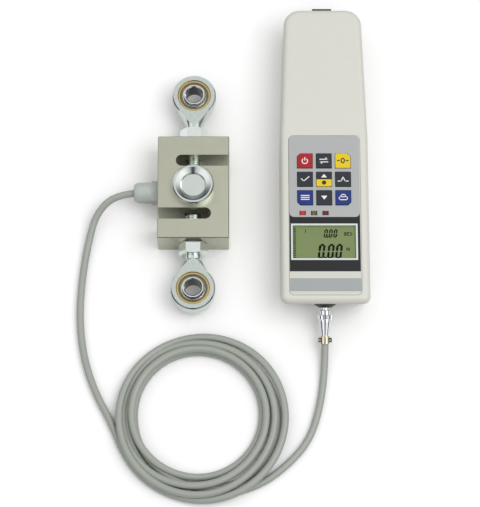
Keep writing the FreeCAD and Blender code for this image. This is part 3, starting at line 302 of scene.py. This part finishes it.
# %% The printed finishes
printed = {
    "overlay": ("polycarbonate_film_silver_print", "a8abaa", 0.34, 0.16, 0.003, 0.03, 1.58),
    "navy": ("polycarbonate_film_navy_print", "070a11", 0.36, 0.20, 0.002, 0.06, 1.43),
    "print_white": ("screen_print_white", "e8e8e4", 0.50, 0.20, 0.002, 0.02, 1.50),
    "print_black": ("screen_print_black", "1b1a1c", 0.50, 0.20, 0.002, 0.05, 1.50),
    "ink_black": ("liquid_crystal_segment_dark", "0a0d08", 0.60, 0.20, 0.001, 0.06, 1.50),
    "board": ("circuit_board_solder_mask_green", "1f5a35", 0.35, 0.50, 0.004, 0.06, 1.50),
    "gauge": ("polyimide_foil_amber", "b97b32", 0.35, 0.20, 0.001, 0.06, 1.50),
}
make_finishes(printed)
segment_shader = materials["ink_black"].node_tree.nodes["Principled BSDF"]
segment_shader.inputs["Specular IOR Level"].default_value = 0.0

# %% [markdown]
# ## Label, screen glass and cable jacket
# Three finishes have a pattern of their own. The label is lacquered aluminium foil, brushed
# across, so its noise is stretched into fine lines. The green layer of the screen is smooth, and
# only drifts in tone over about two centimetres. The cable's jacket is soft PVC, pressed out
# through a die, and its grey varies slowly along the coil. They could be rows of a table too, but
# then every row would carry values that only these three need.

# %% The finishes with a pattern of their own
BRUSHED = (0.05, 1, 1)
materials["label"] = surface("aluminium_foil_label_brushed", "9ca1a2", 0.42, grain=0.2,
                             depth=0.004, mottle=0.03, stretch=BRUSHED)
materials["crystal"] = surface("liquid_crystal_glass_green", "788a50", 0.3, grain=1.2,
                               depth=0.001, mottle=0.05, ior=1.52, mottle_size=18.0)
materials["cable"] = surface("pvc_jacket_extruded_grey", "9da29a", 0.38, grain=0.5,
                             depth=0.012, mottle=0.05, ior=1.53, mottle_size=16.0)
print("finishes so far", len(materials))

# %% [markdown]
# ## The metals
# A metal has no colour of its own below its mirror, so its colour is the tint of what it mirrors,
# and its roughness says how sharply. The load cell is nickel-plated tool steel, ground across its
# width: the stretched noise gives it short fine lines and a broad, dull shine. The rod ends are
# forged and zinc-plated, and small crystals of zinc make them mottled. Nuts and plug are machined
# or polished, and mirror the studio almost sharply. An anisotropic shader would give grinding lines
# as well, but noise lines also break up along their length, as the real ones do.

# %% The metal finishes
GROUND = (0.04, 1, 1)
# finish: material, colour, roughness, grain, depth of the relief, mottle
metals = {
    "cap": ("stainless_steel_turned", "d0d6d2", 0.20, 0.2, 0.002, 0.04),
    "nut": ("zinc_plated_machined_steel", "dfe5e2", 0.13, 0.3, 0.003, 0.05),
    "steel": ("zinc_plated_screw_steel", "aeb0ad", 0.32, 0.2, 0.003, 0.06),
    "chrome": ("chrome_plated_polished", "dcdee2", 0.09, 0.3, 0.0006, 0.03),
    "clamp": ("nickel_plated_brass_stamped", "d3cab0", 0.16, 0.3, 0.003, 0.06),
    "brass": ("brass_turned", "ab9a6a", 0.26, 0.2, 0.003, 0.06),
    "board_part": ("tin_plated_spring_steel", "b9b9b2", 0.30, 0.2, 0.002, 0.06),
    "ball": ("bearing_steel_ground", "d4d6d6", 0.13, 0.3, 0.001, 0.03),
    "race": ("brass_turned_race", "b39a62", 0.26, 0.2, 0.003, 0.06),
}
make_finishes(metals, metallic=1.0)
materials["cell"] = surface("nickel_plated_tool_steel_ground", "b1b2a1", 0.38, metallic=1.0,
                            grain=0.14, depth=0.004, mottle=0.05, mottle_size=14.0,
                            stretch=GROUND)
materials["zinc"] = surface("zinc_plated_forged_steel", "c6cfca", 0.18, metallic=1.0,
                            grain=0.5, depth=0.008, mottle=0.13, mottle_size=2.5)

# %% [markdown]
# ## The balls and races of the rod ends
# A ball is hardened steel, ground bright outside, and its bore is painted dark, as painted shade in
# the hollow. Its race is brass with a bright turned rim, and the seat round the ball is painted
# darker, as painted shade. Both come from one rule: how far a point lies from the axis of its own
# bore. The two rod ends lie mirrored about the load cell's middle, so one absolute value serves
# both. Separate solids could carry the second colour too, but the real ball and race are each one
# piece.

# %% Painted shade about a bore
CELL_MIDDLE = (-41.5 * MM, -24.9 * MM, 0)
EYE_DISTANCE = (0, 74.2 * MM, 0)
ON_THE_TABLE = (1, 1, 0)
BORE_EDGE, SEAT_EDGE = 6.04, 10.7


def bore_distance(tree):
    """How far a point lies from the axis of the nearer rod end's bore."""
    place = add(tree, "TexCoord").outputs["Object"]
    steps = (("SUBTRACT", CELL_MIDDLE), ("ABSOLUTE", None), ("SUBTRACT", EYE_DISTANCE),
             ("MULTIPLY", ON_THE_TABLE))
    for operation, value in steps:
        inputs = {0: place} if value is None else {0: place, 1: value}
        place = add(tree, "VectorMath", inputs, operation=operation).outputs[0]
    return add(tree, "VectorMath", {0: place}, operation="LENGTH").outputs["Value"]


def paint_shade_near_bore(material, inner, outer, edge):
    """Painted shade: one colour nearer to the bore's axis than the edge, in millimetres, and
    another beyond it.
    """
    tree = material.node_tree
    distance = bore_distance(tree)
    beyond = add(tree, "Math", {0: distance, 1: edge * MM}, operation="GREATER_THAN").outputs[0]
    tint = add(tree, "Mix", {0: beyond, 6: linear(inner), 7: linear(outer)},
               data_type="RGBA").outputs[2]
    tree.links.new(tint, tree.nodes["Principled BSDF"].inputs["Base Color"])


# the darker colours inside the edges are painted shade, in the ball's bore and on the race's seat
paint_shade_near_bore(materials["ball"], "45494b", "d4d6d6", BORE_EDGE)
paint_shade_near_bore(materials["race"], "77715f", "c6ae72", SEAT_EDGE)
print("two tones at", BORE_EDGE, "and", SEAT_EDGE, "mm from the bore's axis")

# %% [markdown]
# ## The clear window
# The window is a thin acrylic sheet: it lets light straight through and mirrors a little more at
# a slant, less than bare acrylic because it is coated against glare. A glass shader would bend the
# light and cast a shadow on the display, and so thin a sheet does neither.

# %% The window
COATED_IOR = 1.27
HAZE_SIZE = 2.5
CLEAREST, HAZIEST = 0.03, 0.10

window = bpy.data.materials.new("acrylic_sheet_clear_coated")
window.use_nodes = True
sheet = window.node_tree
sheet.nodes.clear()
spot = add(sheet, "TexCoord").outputs["Object"]
haze = add(sheet, "TexNoise", {"Vector": spot, "Scale": 1 / (HAZE_SIZE * MM), "Detail": 2.0})
blur = add(sheet, "MapRange", {0: haze.outputs[0], 3: CLEAREST, 4: HAZIEST}).outputs[0]
mirror = add(sheet, "BsdfGlossy", {"Color": linear("ffffff"), "Roughness": blur}).outputs[0]
through = add(sheet, "BsdfTransparent", {"Color": linear("fcfcfc")}).outputs[0]
slant = add(sheet, "Fresnel", {"IOR": COATED_IOR}).outputs[0]
inside = add(sheet, "NewGeometry").outputs["Backfacing"]
outside = add(sheet, "Math", {0: 1.0, 1: inside}, operation="SUBTRACT").outputs[0]
mirrored = add(sheet, "Math", {0: slant, 1: outside}, operation="MULTIPLY").outputs[0]
pane = add(sheet, "MixShader", {0: mirrored, 1: through, 2: mirror}).outputs[0]
add(sheet, "OutputMaterial", {"Surface": pane})
materials["window"] = window
print("haze from", CLEAREST, "to", HAZIEST)

# %% [markdown]
# ## The three status lights
# Three small lenses of tinted polycarbonate sit in a row between keys and screen. They share one
# strip of solids, so their colour goes by place: the left one is lit red, the middle one is dull
# amber, the right one dark red. Each is painted darker along its rim where it enters the panel, as
# painted shade, and all three get a faint painted glow. Three materials would do as well, but the
# strip is one moulding, and a rule by place keeps it one.

# %% The lenses
FIRST_LIGHT, HALF_PITCH, HALF_LENS = 37.2, 4.1, 1.45
LENS_TONES = ("c01424", "5e5230", "5c1218")
RIM_SHADE_TONE = "26181a"
LENS_GLOW = 0.12

lens = surface("polycarbonate_lens_tinted", "7a1a1c", 0.2, grain=0.3, depth=0.002, ior=1.49)
strip = lens.node_tree
strip_place = add(strip, "TexCoord").outputs["Object"]
across = add(strip, "SeparateXYZ", {0: strip_place}).outputs[0]
lens_tint = linear(LENS_TONES[0])
for gap, tone in enumerate(LENS_TONES[1:]):
    edge = (FIRST_LIGHT + (2 * gap + 1) * HALF_PITCH) * MM
    past = add(strip, "Math", {0: across, 1: edge}, operation="GREATER_THAN").outputs[0]
    lens_tint = add(strip, "Mix", {0: past, 6: lens_tint, 7: linear(tone)},
                    data_type="RGBA").outputs[2]
from_first = add(strip, "Math", {0: across, 1: FIRST_LIGHT * MM},
                 operation="SUBTRACT").outputs[0]
from_nearest = add(strip, "Math", {0: from_first, 1: HALF_PITCH * MM, 2: -HALF_PITCH * MM},
                   operation="WRAP").outputs[0]
aside = add(strip, "Math", {0: from_nearest}, operation="ABSOLUTE").outputs[0]
# a dark rim round each lens, painted shade where it enters the panel
rim = add(strip, "Math", {0: aside, 1: HALF_LENS * MM}, operation="GREATER_THAN").outputs[0]
lens_tint = add(strip, "Mix", {0: rim, 6: lens_tint, 7: linear(RIM_SHADE_TONE)},
                data_type="RGBA").outputs[2]
lens_shader = strip.nodes["Principled BSDF"]
for socket in ("Base Color", "Emission Color"):
    strip.links.new(lens_tint, lens_shader.inputs[socket])
# a faint painted glow on all three lenses
lens_shader.inputs["Emission Strength"].default_value = LENS_GLOW
materials["lights"] = lens
print("lights", len(LENS_TONES), "every", 2 * HALF_PITCH, "mm")

# %% [markdown]
# ## Dressing the construction solids
# The solids keep their place and shape and only get their material, so what is seen here is what
# was built. A list by material is short to read and shows at once which pieces share a finish.

# %% Which solid is made of what
made_of = {
    "housing": ["front_housing", "rear_housing"],
    "insert": ["front_insert"],
    "overlay": ["keypad_overlay"],
    "navy": ["display_panel"],
    "label": ["label_strip"],
    "frame": ["display_frame"],
    "window": ["display_window"],
    "crystal": ["crystal_glass"],
    "lights": ["status_lights"],
    "board": ["front_board", "main_circuit_board", "terminal_board"],
    "board_part": ["snap_domes"],
    "black": ["battery_holder", "data_port", "socket_nut"],
    "brass": ["mounting_inserts", "plug_contacts"],
    "race": ["upper_race", "lower_race"],
    "steel": ["housing_screws", "board_screws", "battery_cells", "port_jack_screws",
              "clamp_screws"],
    "chrome": ["sensor_socket", "plug_shell", "coupling_ring"],
    "clamp": ["plug_clamp"],
    "cell": ["load_cell_body"],
    "cap": ["front_cap", "rear_cap"],
    "zinc": ["upper_rod_end", "lower_rod_end"],
    "nut": ["upper_lock_nut", "lower_lock_nut"],
    "ball": ["upper_ball", "lower_ball"],
    "gland": ["gland_body", "gland_nut"],
    "seal": ["gland_seal"],
    "gauge": ["strain_gauges"],
}
for finish, names in made_of.items():
    for name in names:
        solid = bpy.data.objects[name]
        solid.data.materials.clear()
        solid.data.materials.append(materials[finish])
cable_curve.materials.append(materials["cable"])
print("solids dressed", sum(len(names) for names in made_of.values()))

# %% [markdown]
# ## Thin printed shapes
# Key signs and display segments are ink a few hundredths of a millimetre thick. Each is a list of
# flat outlines: straight bars, strokes from point to point, and round signs as short bars in a
# ring. A text object could write figures too, but segments drawn as bars look like the real glass.

# %% Bars, strokes and rings
def bar(start, end, width):
    """A straight bar with square ends."""
    a, b = Vector(start), Vector(end)
    along = (b - a).normalized() * width / 2
    across = Vector((-along.y, along.x))
    corners = (a - along - across, b + along - across, b + along + across, a - along + across)
    return [tuple(corner) for corner in corners]


def strokes(points, width):
    """Bars from point to point."""
    return [bar(a, b, width) for a, b in zip(points, points[1:])]


def ring(centre, radii, first, last, width, steps=18):
    """Short blocks side by side along an ellipse from one angle to another, in degrees."""
    def edge(angle, shift):
        return (centre[0] + (radii[0] + shift) * math.cos(angle),
                centre[1] + (radii[1] + shift) * math.sin(angle))

    angles = [math.radians(first + (last - first) * i / steps) for i in range(steps + 1)]
    half = width / 2
    return [[edge(a, -half), edge(a, half), edge(b, half), edge(b, -half)]
            for a, b in zip(angles, angles[1:])]


def moved(outlines, x, y):
    """Outlines shifted to their place."""
    return [[(x + px, y + py) for px, py in outline] for outline in outlines]


print("a bar", bar((0, 0), (4, 0), 0.5))

# %% [markdown]
# ## From outlines to ink
# A layer of ink is a flat plate with a real edge, which catches a thin line of light. So each
# outline becomes a closed plate with a bottom, a top and sides, and rides on the body that carries
# it. A flat face without thickness would be quicker, but it would flicker against the key below.

# %% Plates of ink
def plate(name, outlines, bottom, thickness, body, finish):
    """Thin plates with the given outlines, riding a body."""
    shape = bmesh.new()
    for outline in outlines:
        low, high = ([shape.verts.new((x * MM, y * MM, z * MM)) for x, y in outline]
                     for z in (bottom, bottom + thickness))
        shape.faces.new(high)
        shape.faces.new(low[::-1])
        for i in range(len(low)):
            j = (i + 1) % len(low)
            shape.faces.new((low[i], low[j], high[j], high[i]))
    bmesh.ops.recalc_face_normals(shape, faces=shape.faces)
    mesh = bpy.data.meshes.new(name)
    shape.to_mesh(mesh)
    shape.free()
    mesh.materials.append(materials[finish])
    made = linked(name, mesh)
    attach(made, body)


print("ink ready in", materials["print_white"].name, "and", materials["print_black"].name)

# %% [markdown]
# ## The signs on the keys
# The keys carry plain signs: power ring, arrows, zero between bars, tick, peak line, list, sheet
# of paper. Each is drawn about the middle of its key, in millimetres, in strokes as wide as the
# printing screen leaves them. A font with such signs would be a file to load, and a dozen strokes
# say the same.

# %% Nine signs
STROKE, BOLD = 0.68, 0.85

signs = {
    "key_power": ring((0, -0.3), (2.0, 2.0), 125, 415, STROKE)
    + strokes([(0, 0.4), (0, 2.3)], STROKE),
    "key_unit": strokes([(-2.8, 1.0), (2.6, 1.0), (1.5, 2.0)], STROKE)
    + strokes([(2.8, -1.0), (-2.6, -1.0), (-1.5, -2.0)], STROKE),
    "key_zero": ring((0, 0), (1.15, 1.75), 0, 360, BOLD)
    + [bar((-3.8, 0), (-2.6, 0), BOLD), bar((2.6, 0), (3.8, 0), BOLD)],
    "key_set": strokes([(-2.6, 0.1), (-0.8, -1.6), (2.8, 1.8)], STROKE),
    "key_up": [[(-2.1, 1.2), (2.1, 1.2), (0, 3.8)]],
    "key_peak": strokes([(-3.6, -1.6), (-1.4, -1.6), (0, 1.7), (1.4, -1.6), (3.6, -1.6)], STROKE),
    "key_memory": [bar((-2.8, y), (2.8, y), STROKE) for y in (1.5, 0, -1.5)],
    "key_down": [[(-2.2, 1.3), (0, -1.7), (2.2, 1.3)]],
    "key_print": strokes([(-1.5, 0.9), (-1.5, 2.3), (1.5, 2.3), (1.5, 0.9)], STROKE)
    + strokes([(-2.9, 0.6), (2.9, 0.6), (2.9, -1.7), (-2.9, -1.7), (-2.9, 0.6)], STROKE),
}
print("signs", len(signs))

# %% [markdown]
# ## The key pads
# Each key is a soft moulded pad that stands a little proud of the film. The corner keys have one
# cut corner, away from the middle key, and the middle key is printed half dark and half yellow.
# The pads are built as meshes with a rounded rim, because that rim's thin highlight is what makes
# a key look soft. They end a hair lower than the construction keys, and the sign fills that hair.

# %% One key pad
KEY_FOOT, KEY_TOP = 36.1, 37.36
KEY_MIDDLE, KEY_PITCH, KEY_HALF = (52.8, -22.5), (13.7, 14.1), (5.45, 5.55)
CORNER_CUT = 2.3
CORNER_RADIUS, CORNER_STEPS, CORNER_PROFILE = 0.7, 4, 0.5
RIM_RADIUS, RIM_STEPS, RIM_PROFILE = 0.3, 3, 0.6
SPLIT = -0.3  # where the middle key turns yellow, from its middle
UPRIGHT, LEVEL = 0.1 * MM, 0.01 * MM  # tolerances that tell upright edges and the rim from others


def pad_outline(column, row):
    """Outline of a key, with the cut on the corner away from the middle key."""
    points = []
    for sx, sy in ((-1, -1), (1, -1), (1, 1), (-1, 1)):
        x, y = sx * KEY_HALF[0], sy * KEY_HALF[1]
        if (sx, sy) != (column, row):
            points.append((x, y))
            continue
        cut = [(x - sx * CORNER_CUT, y), (x, y - sy * CORNER_CUT)]
        points += cut[::-1] if sx * sy > 0 else cut
    return points


def key_pad(node, column, row, x0, y0, finish):
    """A moulded key with a rounded rim, in the place of the construction key."""
    shape = bmesh.new()
    foot = [shape.verts.new(((x0 + x) * MM, (y0 + y) * MM, KEY_FOOT * MM))
            for x, y in pad_outline(column, row)]
    top = bmesh.ops.extrude_face_region(shape, geom=[shape.faces.new(foot)])["geom"]
    risen = [part for part in top if isinstance(part, bmesh.types.BMVert)]
    bmesh.ops.translate(shape, verts=risen, vec=(0, 0, (KEY_TOP - KEY_FOOT) * MM))
    bmesh.ops.recalc_face_normals(shape, faces=shape.faces)
    upright = [e for e in shape.edges if abs(e.verts[0].co.z - e.verts[1].co.z) > UPRIGHT]
    bmesh.ops.bevel(shape, geom=upright, offset=CORNER_RADIUS * MM, segments=CORNER_STEPS,
                    affect="EDGES", profile=CORNER_PROFILE)
    rim = [e for e in shape.edges if min(v.co.z for v in e.verts) > KEY_TOP * MM - LEVEL]
    bmesh.ops.bevel(shape, geom=rim, offset=RIM_RADIUS * MM, segments=RIM_STEPS,
                    affect="EDGES", profile=RIM_PROFILE)
    if node == "key_up":
        split_y = (y0 + SPLIT) * MM
        everything = shape.verts[:] + shape.edges[:] + shape.faces[:]
        bmesh.ops.bisect_plane(shape, geom=everything, plane_co=(0, split_y, 0), plane_no=(0, 1, 0))
        for face in shape.faces:
            face.material_index = int(face.calc_center_median().y < split_y)
    mesh = bpy.data.meshes.new(node + "_pad")
    shape.to_mesh(mesh)
    shape.free()
    for part in (finish, "key_yellow"):
        mesh.materials.append(materials[part])
    made = linked(node + "_pad", mesh)
    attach(made, node + "_body")
    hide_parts(node)


print("a key is", 2 * KEY_HALF[0], "by", 2 * KEY_HALF[1], "mm")

# %% [markdown]
# ## Nine keys in their places
# The keys stand in a grid of three by three, so a plan gives each its column and row about the
# middle key, its colour and its ink. A grid could also be made with an array modifier, but then
# all nine keys would be alike and would sink together, and each real key sinks on its own.

# %% The keypad
DOT_RADIUS, DOT_Y, DOT_STEPS = 1.6, -2.75, 20
# key: column, row, colour of the pad, colour of the sign
key_plan = {
    "key_power": (-1, 1, "key_red", "print_white"),
    "key_unit": (0, 1, "key_dark", "print_white"),
    "key_zero": (1, 1, "key_yellow", "print_black"),
    "key_set": (-1, 0, "key_dark", "print_white"),
    "key_up": (0, 0, "key_dark", "print_white"),
    "key_peak": (1, 0, "key_dark", "print_white"),
    "key_memory": (-1, -1, "key_blue", "print_white"),
    "key_down": (0, -1, "key_dark", "print_white"),
    "key_print": (1, -1, "key_blue", "print_white"),
}
INK = 0.025
for node, (column, row, finish, ink) in key_plan.items():
    x0 = KEY_MIDDLE[0] + column * KEY_PITCH[0]
    y0 = KEY_MIDDLE[1] + row * KEY_PITCH[1]
    key_pad(node, column, row, x0, y0, finish)
    sign = moved(signs[node], x0, y0)
    plate(node + "_sign", sign, KEY_TOP, INK, node + "_body", ink)
turns = np.linspace(0, 2 * math.pi, DOT_STEPS, endpoint=False)
dot = [(DOT_RADIUS * math.cos(a), DOT_Y + DOT_RADIUS * math.sin(a)) for a in turns]
dot_there = moved([dot], *KEY_MIDDLE)
plate("key_up_dot", dot_there, KEY_TOP, INK, "key_up_body", "print_black")
print("keys", len(key_plan))

# %% [markdown]
# ## Figures of seven bars
# The glass of such a display holds seven slanted bars for each figure, and a zero lights six of
# them. The bars are pointed, with a fine gap where two meet, so the six come from one walk round
# the figure. A font would round the corners, and the real bars never do.

# %% A zero and a reading
SLANT = 0.13
GAP_SHARE, TIP_SHARE = 0.42, 0.34  # shares of a bar's thickness
POINT_SHIFT, POINT_LENGTH, POINT_SHARE = 0.1, 0.01, 1.1
ZERO_ROUND = [(0, 1), (1, 1), (1, 0.5), (1, 0), (0, 0), (0, 0.5), (0, 1)]


def zero_figure(x, y, width, height, thick):
    """The six lit bars of a zero, with small gaps at the corners."""
    corners = [Vector((x + over * width + SLANT * up * height, y + up * height))
               for over, up in ZERO_ROUND]
    outlines = []
    for a, b in zip(corners, corners[1:]):
        along = (b - a).normalized()
        a, b = a + along * thick * GAP_SHARE, b - along * thick * GAP_SHARE
        side = Vector((-along.y, along.x)) * thick / 2
        tip = along * thick * TIP_SHARE
        around = (a - tip, a - side, b - side, b + tip, b + side, a + side)
        outlines.append([tuple(corner) for corner in around])
    return outlines


def reading(x, y, width, height, thick, after_point, space):
    """Zero point zero zero."""
    outlines = []
    for place in (0.0, after_point, after_point + space):
        outlines += zero_figure(x + place, y, width, height, thick)
    point_x = x + (width + after_point) / 2 - POINT_SHIFT
    outlines.append(bar((point_x, y), (point_x + POINT_LENGTH, y), thick * POINT_SHARE))
    return outlines


print("bars in a reading", len(reading(0, 0, 1, 2, 0.3, 2, 2)))

# %% [markdown]
# ## What the display shows
# The glass shows zero twice, small for the stored peak and large for the force, with a battery
# sign, a unit mark, a peak mark and a column of bars at the left. All of it is one thin mesh under
# the window, because the real segments are one layer inside the glass. Separate pieces would do as
# well, but none of them ever moves against another.

# %% Display segments
GLASS_TOP, SEGMENT_THICKNESS = 34.5, 0.03
SCREEN_MIDDLE = (52.6, -69.7)
BATTERY_LINE, BATTERY_POLE, BATTERY_LEVEL = 0.45, 0.5, 0.7
UNIT_LINE, PEAK_LINE, COLUMN_LINE = 0.55, 0.5, 0.62

stored_peak = {"x": 0.0, "y": 4.0, "width": 1.65, "height": 5.5, "thick": 1.0,
               "after_point": 3.45, "space": 3.35}
force = {"x": -4.2, "y": -11.6, "width": 3.05, "height": 9.7, "thick": 1.65,
         "after_point": 6.6, "space": 5.8}
battery = [(14.4, 7.4), (19.2, 7.4), (19.2, 5.4), (14.4, 5.4), (14.4, 7.4)]
unit_mark = [(16.0, -6.2), (16.0, -4.0), (17.7, -6.2), (17.7, -4.0)]
column_heights = np.arange(-11.2, 11.3, 1.3)

shown = reading(**stored_peak) + reading(**force)
shown += strokes(battery, BATTERY_LINE) + [bar((19.9, 6.1), (19.9, 6.7), BATTERY_POLE)]
shown += [bar((x, 6.0), (x, 6.8), BATTERY_LEVEL) for x in (15.4, 16.9)]
shown += strokes(unit_mark, UNIT_LINE)
shown += [bar((-13.4, 7.2), (-13.4, 9.6), PEAK_LINE)]
shown += [bar((-21.9, y), (-20.6, y), COLUMN_LINE) for y in column_heights]
segments = moved(shown, *SCREEN_MIDDLE)
plate("display_segments", segments, GLASS_TOP, SEGMENT_THICKNESS, "instrument",
      "ink_black")
print("segments", len(shown))

# %% [markdown]
# ## The floor
# The part lies on a large plain pale board, a fifth of a millimetre below it so that no two faces
# share a place. A curved paper backdrop would do as well, but the view is from above and sees only
# its flat part.

# %% Pale board
FLOOR_REACH, FLOOR_DROP = 4.0, 0.2 * MM

corners = [(x * FLOOR_REACH, y * FLOOR_REACH, 0) for x, y in ((-1, -1), (1, -1), (1, 1), (-1, 1))]
floor_mesh = bpy.data.meshes.new("floor")
floor_mesh.from_pydata(corners, [], [(0, 1, 2, 3)])
floor = linked("floor", floor_mesh)
floor.location.z = -FLOOR_DROP
floor_mesh.materials.append(surface("matt_board_white", "fdfdfd", 0.9, grain=0.6, depth=0.0,
                                    mottle=0.0))
print("board", 2 * FLOOR_REACH, "m wide")

# %% [markdown]
# ## How the board meets the eye
# A ray that shows the board to the eye, straight or by a mirror, gets its nearly white tone. A ray
# that only carries light gets a greyer one, or the pale board would flood the part from below. The
# fade into the backdrop grows with the distance from the part, and it too is only for the eye.

# %% The board's tone and fade
FADE_START, FADE_END = 0.3, 1.4
BOARD_SEEN, BOARD_LIT = "ffffff", "b8b8b8"

board = floor_mesh.materials[0].node_tree
board_shader = board.nodes["Principled BSDF"]
board_shader.inputs["Specular IOR Level"].default_value = 0.0
kinds = add(board, "LightPath").outputs
seen = add(board, "Math", {0: kinds["Is Camera Ray"], 1: kinds["Is Glossy Ray"]},
           operation="ADD").outputs[0]
seen = add(board, "Math", {0: seen, 1: kinds["Is Transmission Ray"]},
           operation="ADD", use_clamp=True).outputs[0]
board_tint = add(board, "Mix", {0: seen, 6: linear(BOARD_LIT), 7: linear(BOARD_SEEN)},
                 data_type="RGBA").outputs[2]
board.links.new(board_tint, board_shader.inputs["Base Color"])
board_place = add(board, "TexCoord").outputs["Object"]
from_part = add(board, "VectorMath", {0: board_place}, operation="LENGTH").outputs["Value"]
fade = add(board, "MapRange", {0: from_part, 1: FADE_START, 2: FADE_END},
           interpolation_type="SMOOTHSTEP").outputs[0]
fade_seen = add(board, "Math", {0: fade, 1: seen}, operation="MULTIPLY").outputs[0]
white = add(board, "Emission", {"Color": linear("ffffff"), "Strength": 1.0}).outputs[0]
faded_board = add(board, "MixShader", {0: fade_seen, 1: board_shader.outputs[0],
                                       2: white}).outputs[0]
board.links.new(faded_board, board.nodes["Material Output"].inputs["Surface"])
print("board fades from", FADE_START, "to", FADE_END, "m")

# %% [markdown]
# ## The sky of the studio
# The sky is bright overhead and darker at the horizon. Metal shows what it mirrors, so a sky for
# mirrors only adds what stands round such a table: a tall soft box on each side and a dark stand on
# the near side. They give plated parts their bright bands and dark flanks, and leave the light on
# plastic plain. Real lamps and boards could stand there, but they would light the plastic too.

# %% Directions in the sky
world = bpy.data.worlds.new("studio_sky")
bpy.context.scene.world = world
world.use_nodes = True
sky = world.node_tree
way = add(sky, "SeparateXYZ", {0: add(sky, "TexCoord").outputs["Generated"]}).outputs
sideways = add(sky, "Math", {0: way[0]}, operation="ABSOLUTE").outputs[0]
# the direction that each share goes by, where it is nought, and where it is one
reaches = {
    "rise": (way[2], 0.08, 0.68), "mirror_rise": (way[2], 0.16, 0.70),
    "box_aside": (sideways, 0.30, 0.55), "box_up": (way[2], 0.25, 0.45),
    "stand_middle": (sideways, 0.22, 0.10), "stand_near": (way[1], -0.10, -0.25),
}
share = {}
for name, (direction, nought, one) in reaches.items():
    share[name] = add(sky, "MapRange", {0: direction, 1: nought, 2: one}).outputs[0]
wholes = (("boxes", "box_aside", "box_up"), ("stand", "stand_middle", "stand_near"))
for whole, one_half, other_half in wholes:
    share[whole] = add(sky, "Math", {0: share[one_half], 1: share[other_half]},
                       operation="MULTIPLY").outputs[0]
print("shares of the sky", ", ".join(share))

# %% [markdown]
# ## The sky in layers
# Each layer lies over the one before it, as far as its share goes. First come the layers that a
# mirror sees, then the choice by the kind of ray: light for plastic, mirror image for metal, and a
# plain white backdrop for the eye.

# %% Sky layers
HORIZON, OVERHEAD = (0.30, 0.30, 0.305, 1), (0.92, 0.92, 0.92, 1)
DARK, SOFT_BOX = (0.02, 0.02, 0.024, 1), (1.3, 1.3, 1.3, 1)
BACKDROP = (1.0, 1.0, 1.0, 1)

kinds = add(sky, "LightPath").outputs
mirror_sky = DARK
for part, light in (("mirror_rise", OVERHEAD), ("boxes", SOFT_BOX), ("stand", DARK)):
    mirror_sky = add(sky, "Mix", {0: share[part], 6: mirror_sky, 7: light},
                     data_type="RGBA").outputs[2]
glow = add(sky, "Mix", {0: share["rise"], 6: HORIZON, 7: OVERHEAD}, data_type="RGBA").outputs[2]
for kind, light in (("Is Glossy Ray", mirror_sky), ("Is Camera Ray", BACKDROP)):
    glow = add(sky, "Mix", {0: kinds[kind], 6: glow, 7: light}, data_type="RGBA").outputs[2]
sky.links.new(glow, sky.nodes["Background"].inputs[0])
print("overhead", OVERHEAD[0], "horizon", HORIZON[0], "soft boxes", SOFT_BOX[0])

# %% [markdown]
# ## The lamp
# One large lamp stands at the right, because the housing's right flank is the lighter one, and its
# size makes the shadow soft. A sun would light as evenly, but its shadow would have a hard edge.

# %% Lamp
LAMP_PLACE = Vector((0.65, -0.15, 1.35))
LAMP_POWER, LAMP_SIZE = 7.0, 0.9

lamp = bpy.data.lights.new("soft_lamp", "AREA")
lamp.energy = LAMP_POWER
lamp.size = LAMP_SIZE
key_light = linked("soft_lamp", lamp)
key_light.location = LAMP_PLACE
key_light.rotation_euler = LAMP_PLACE.to_track_quat("Z", "Y").to_euler()
bpy.context.scene.view_settings.view_transform = "Standard"
print("lamp at", [round(v, 2) for v in LAMP_PLACE])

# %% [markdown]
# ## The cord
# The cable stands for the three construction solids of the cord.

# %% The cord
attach(cable, "instrument")
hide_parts("cord_from_cell", "cord_coil", "cord_to_plug")
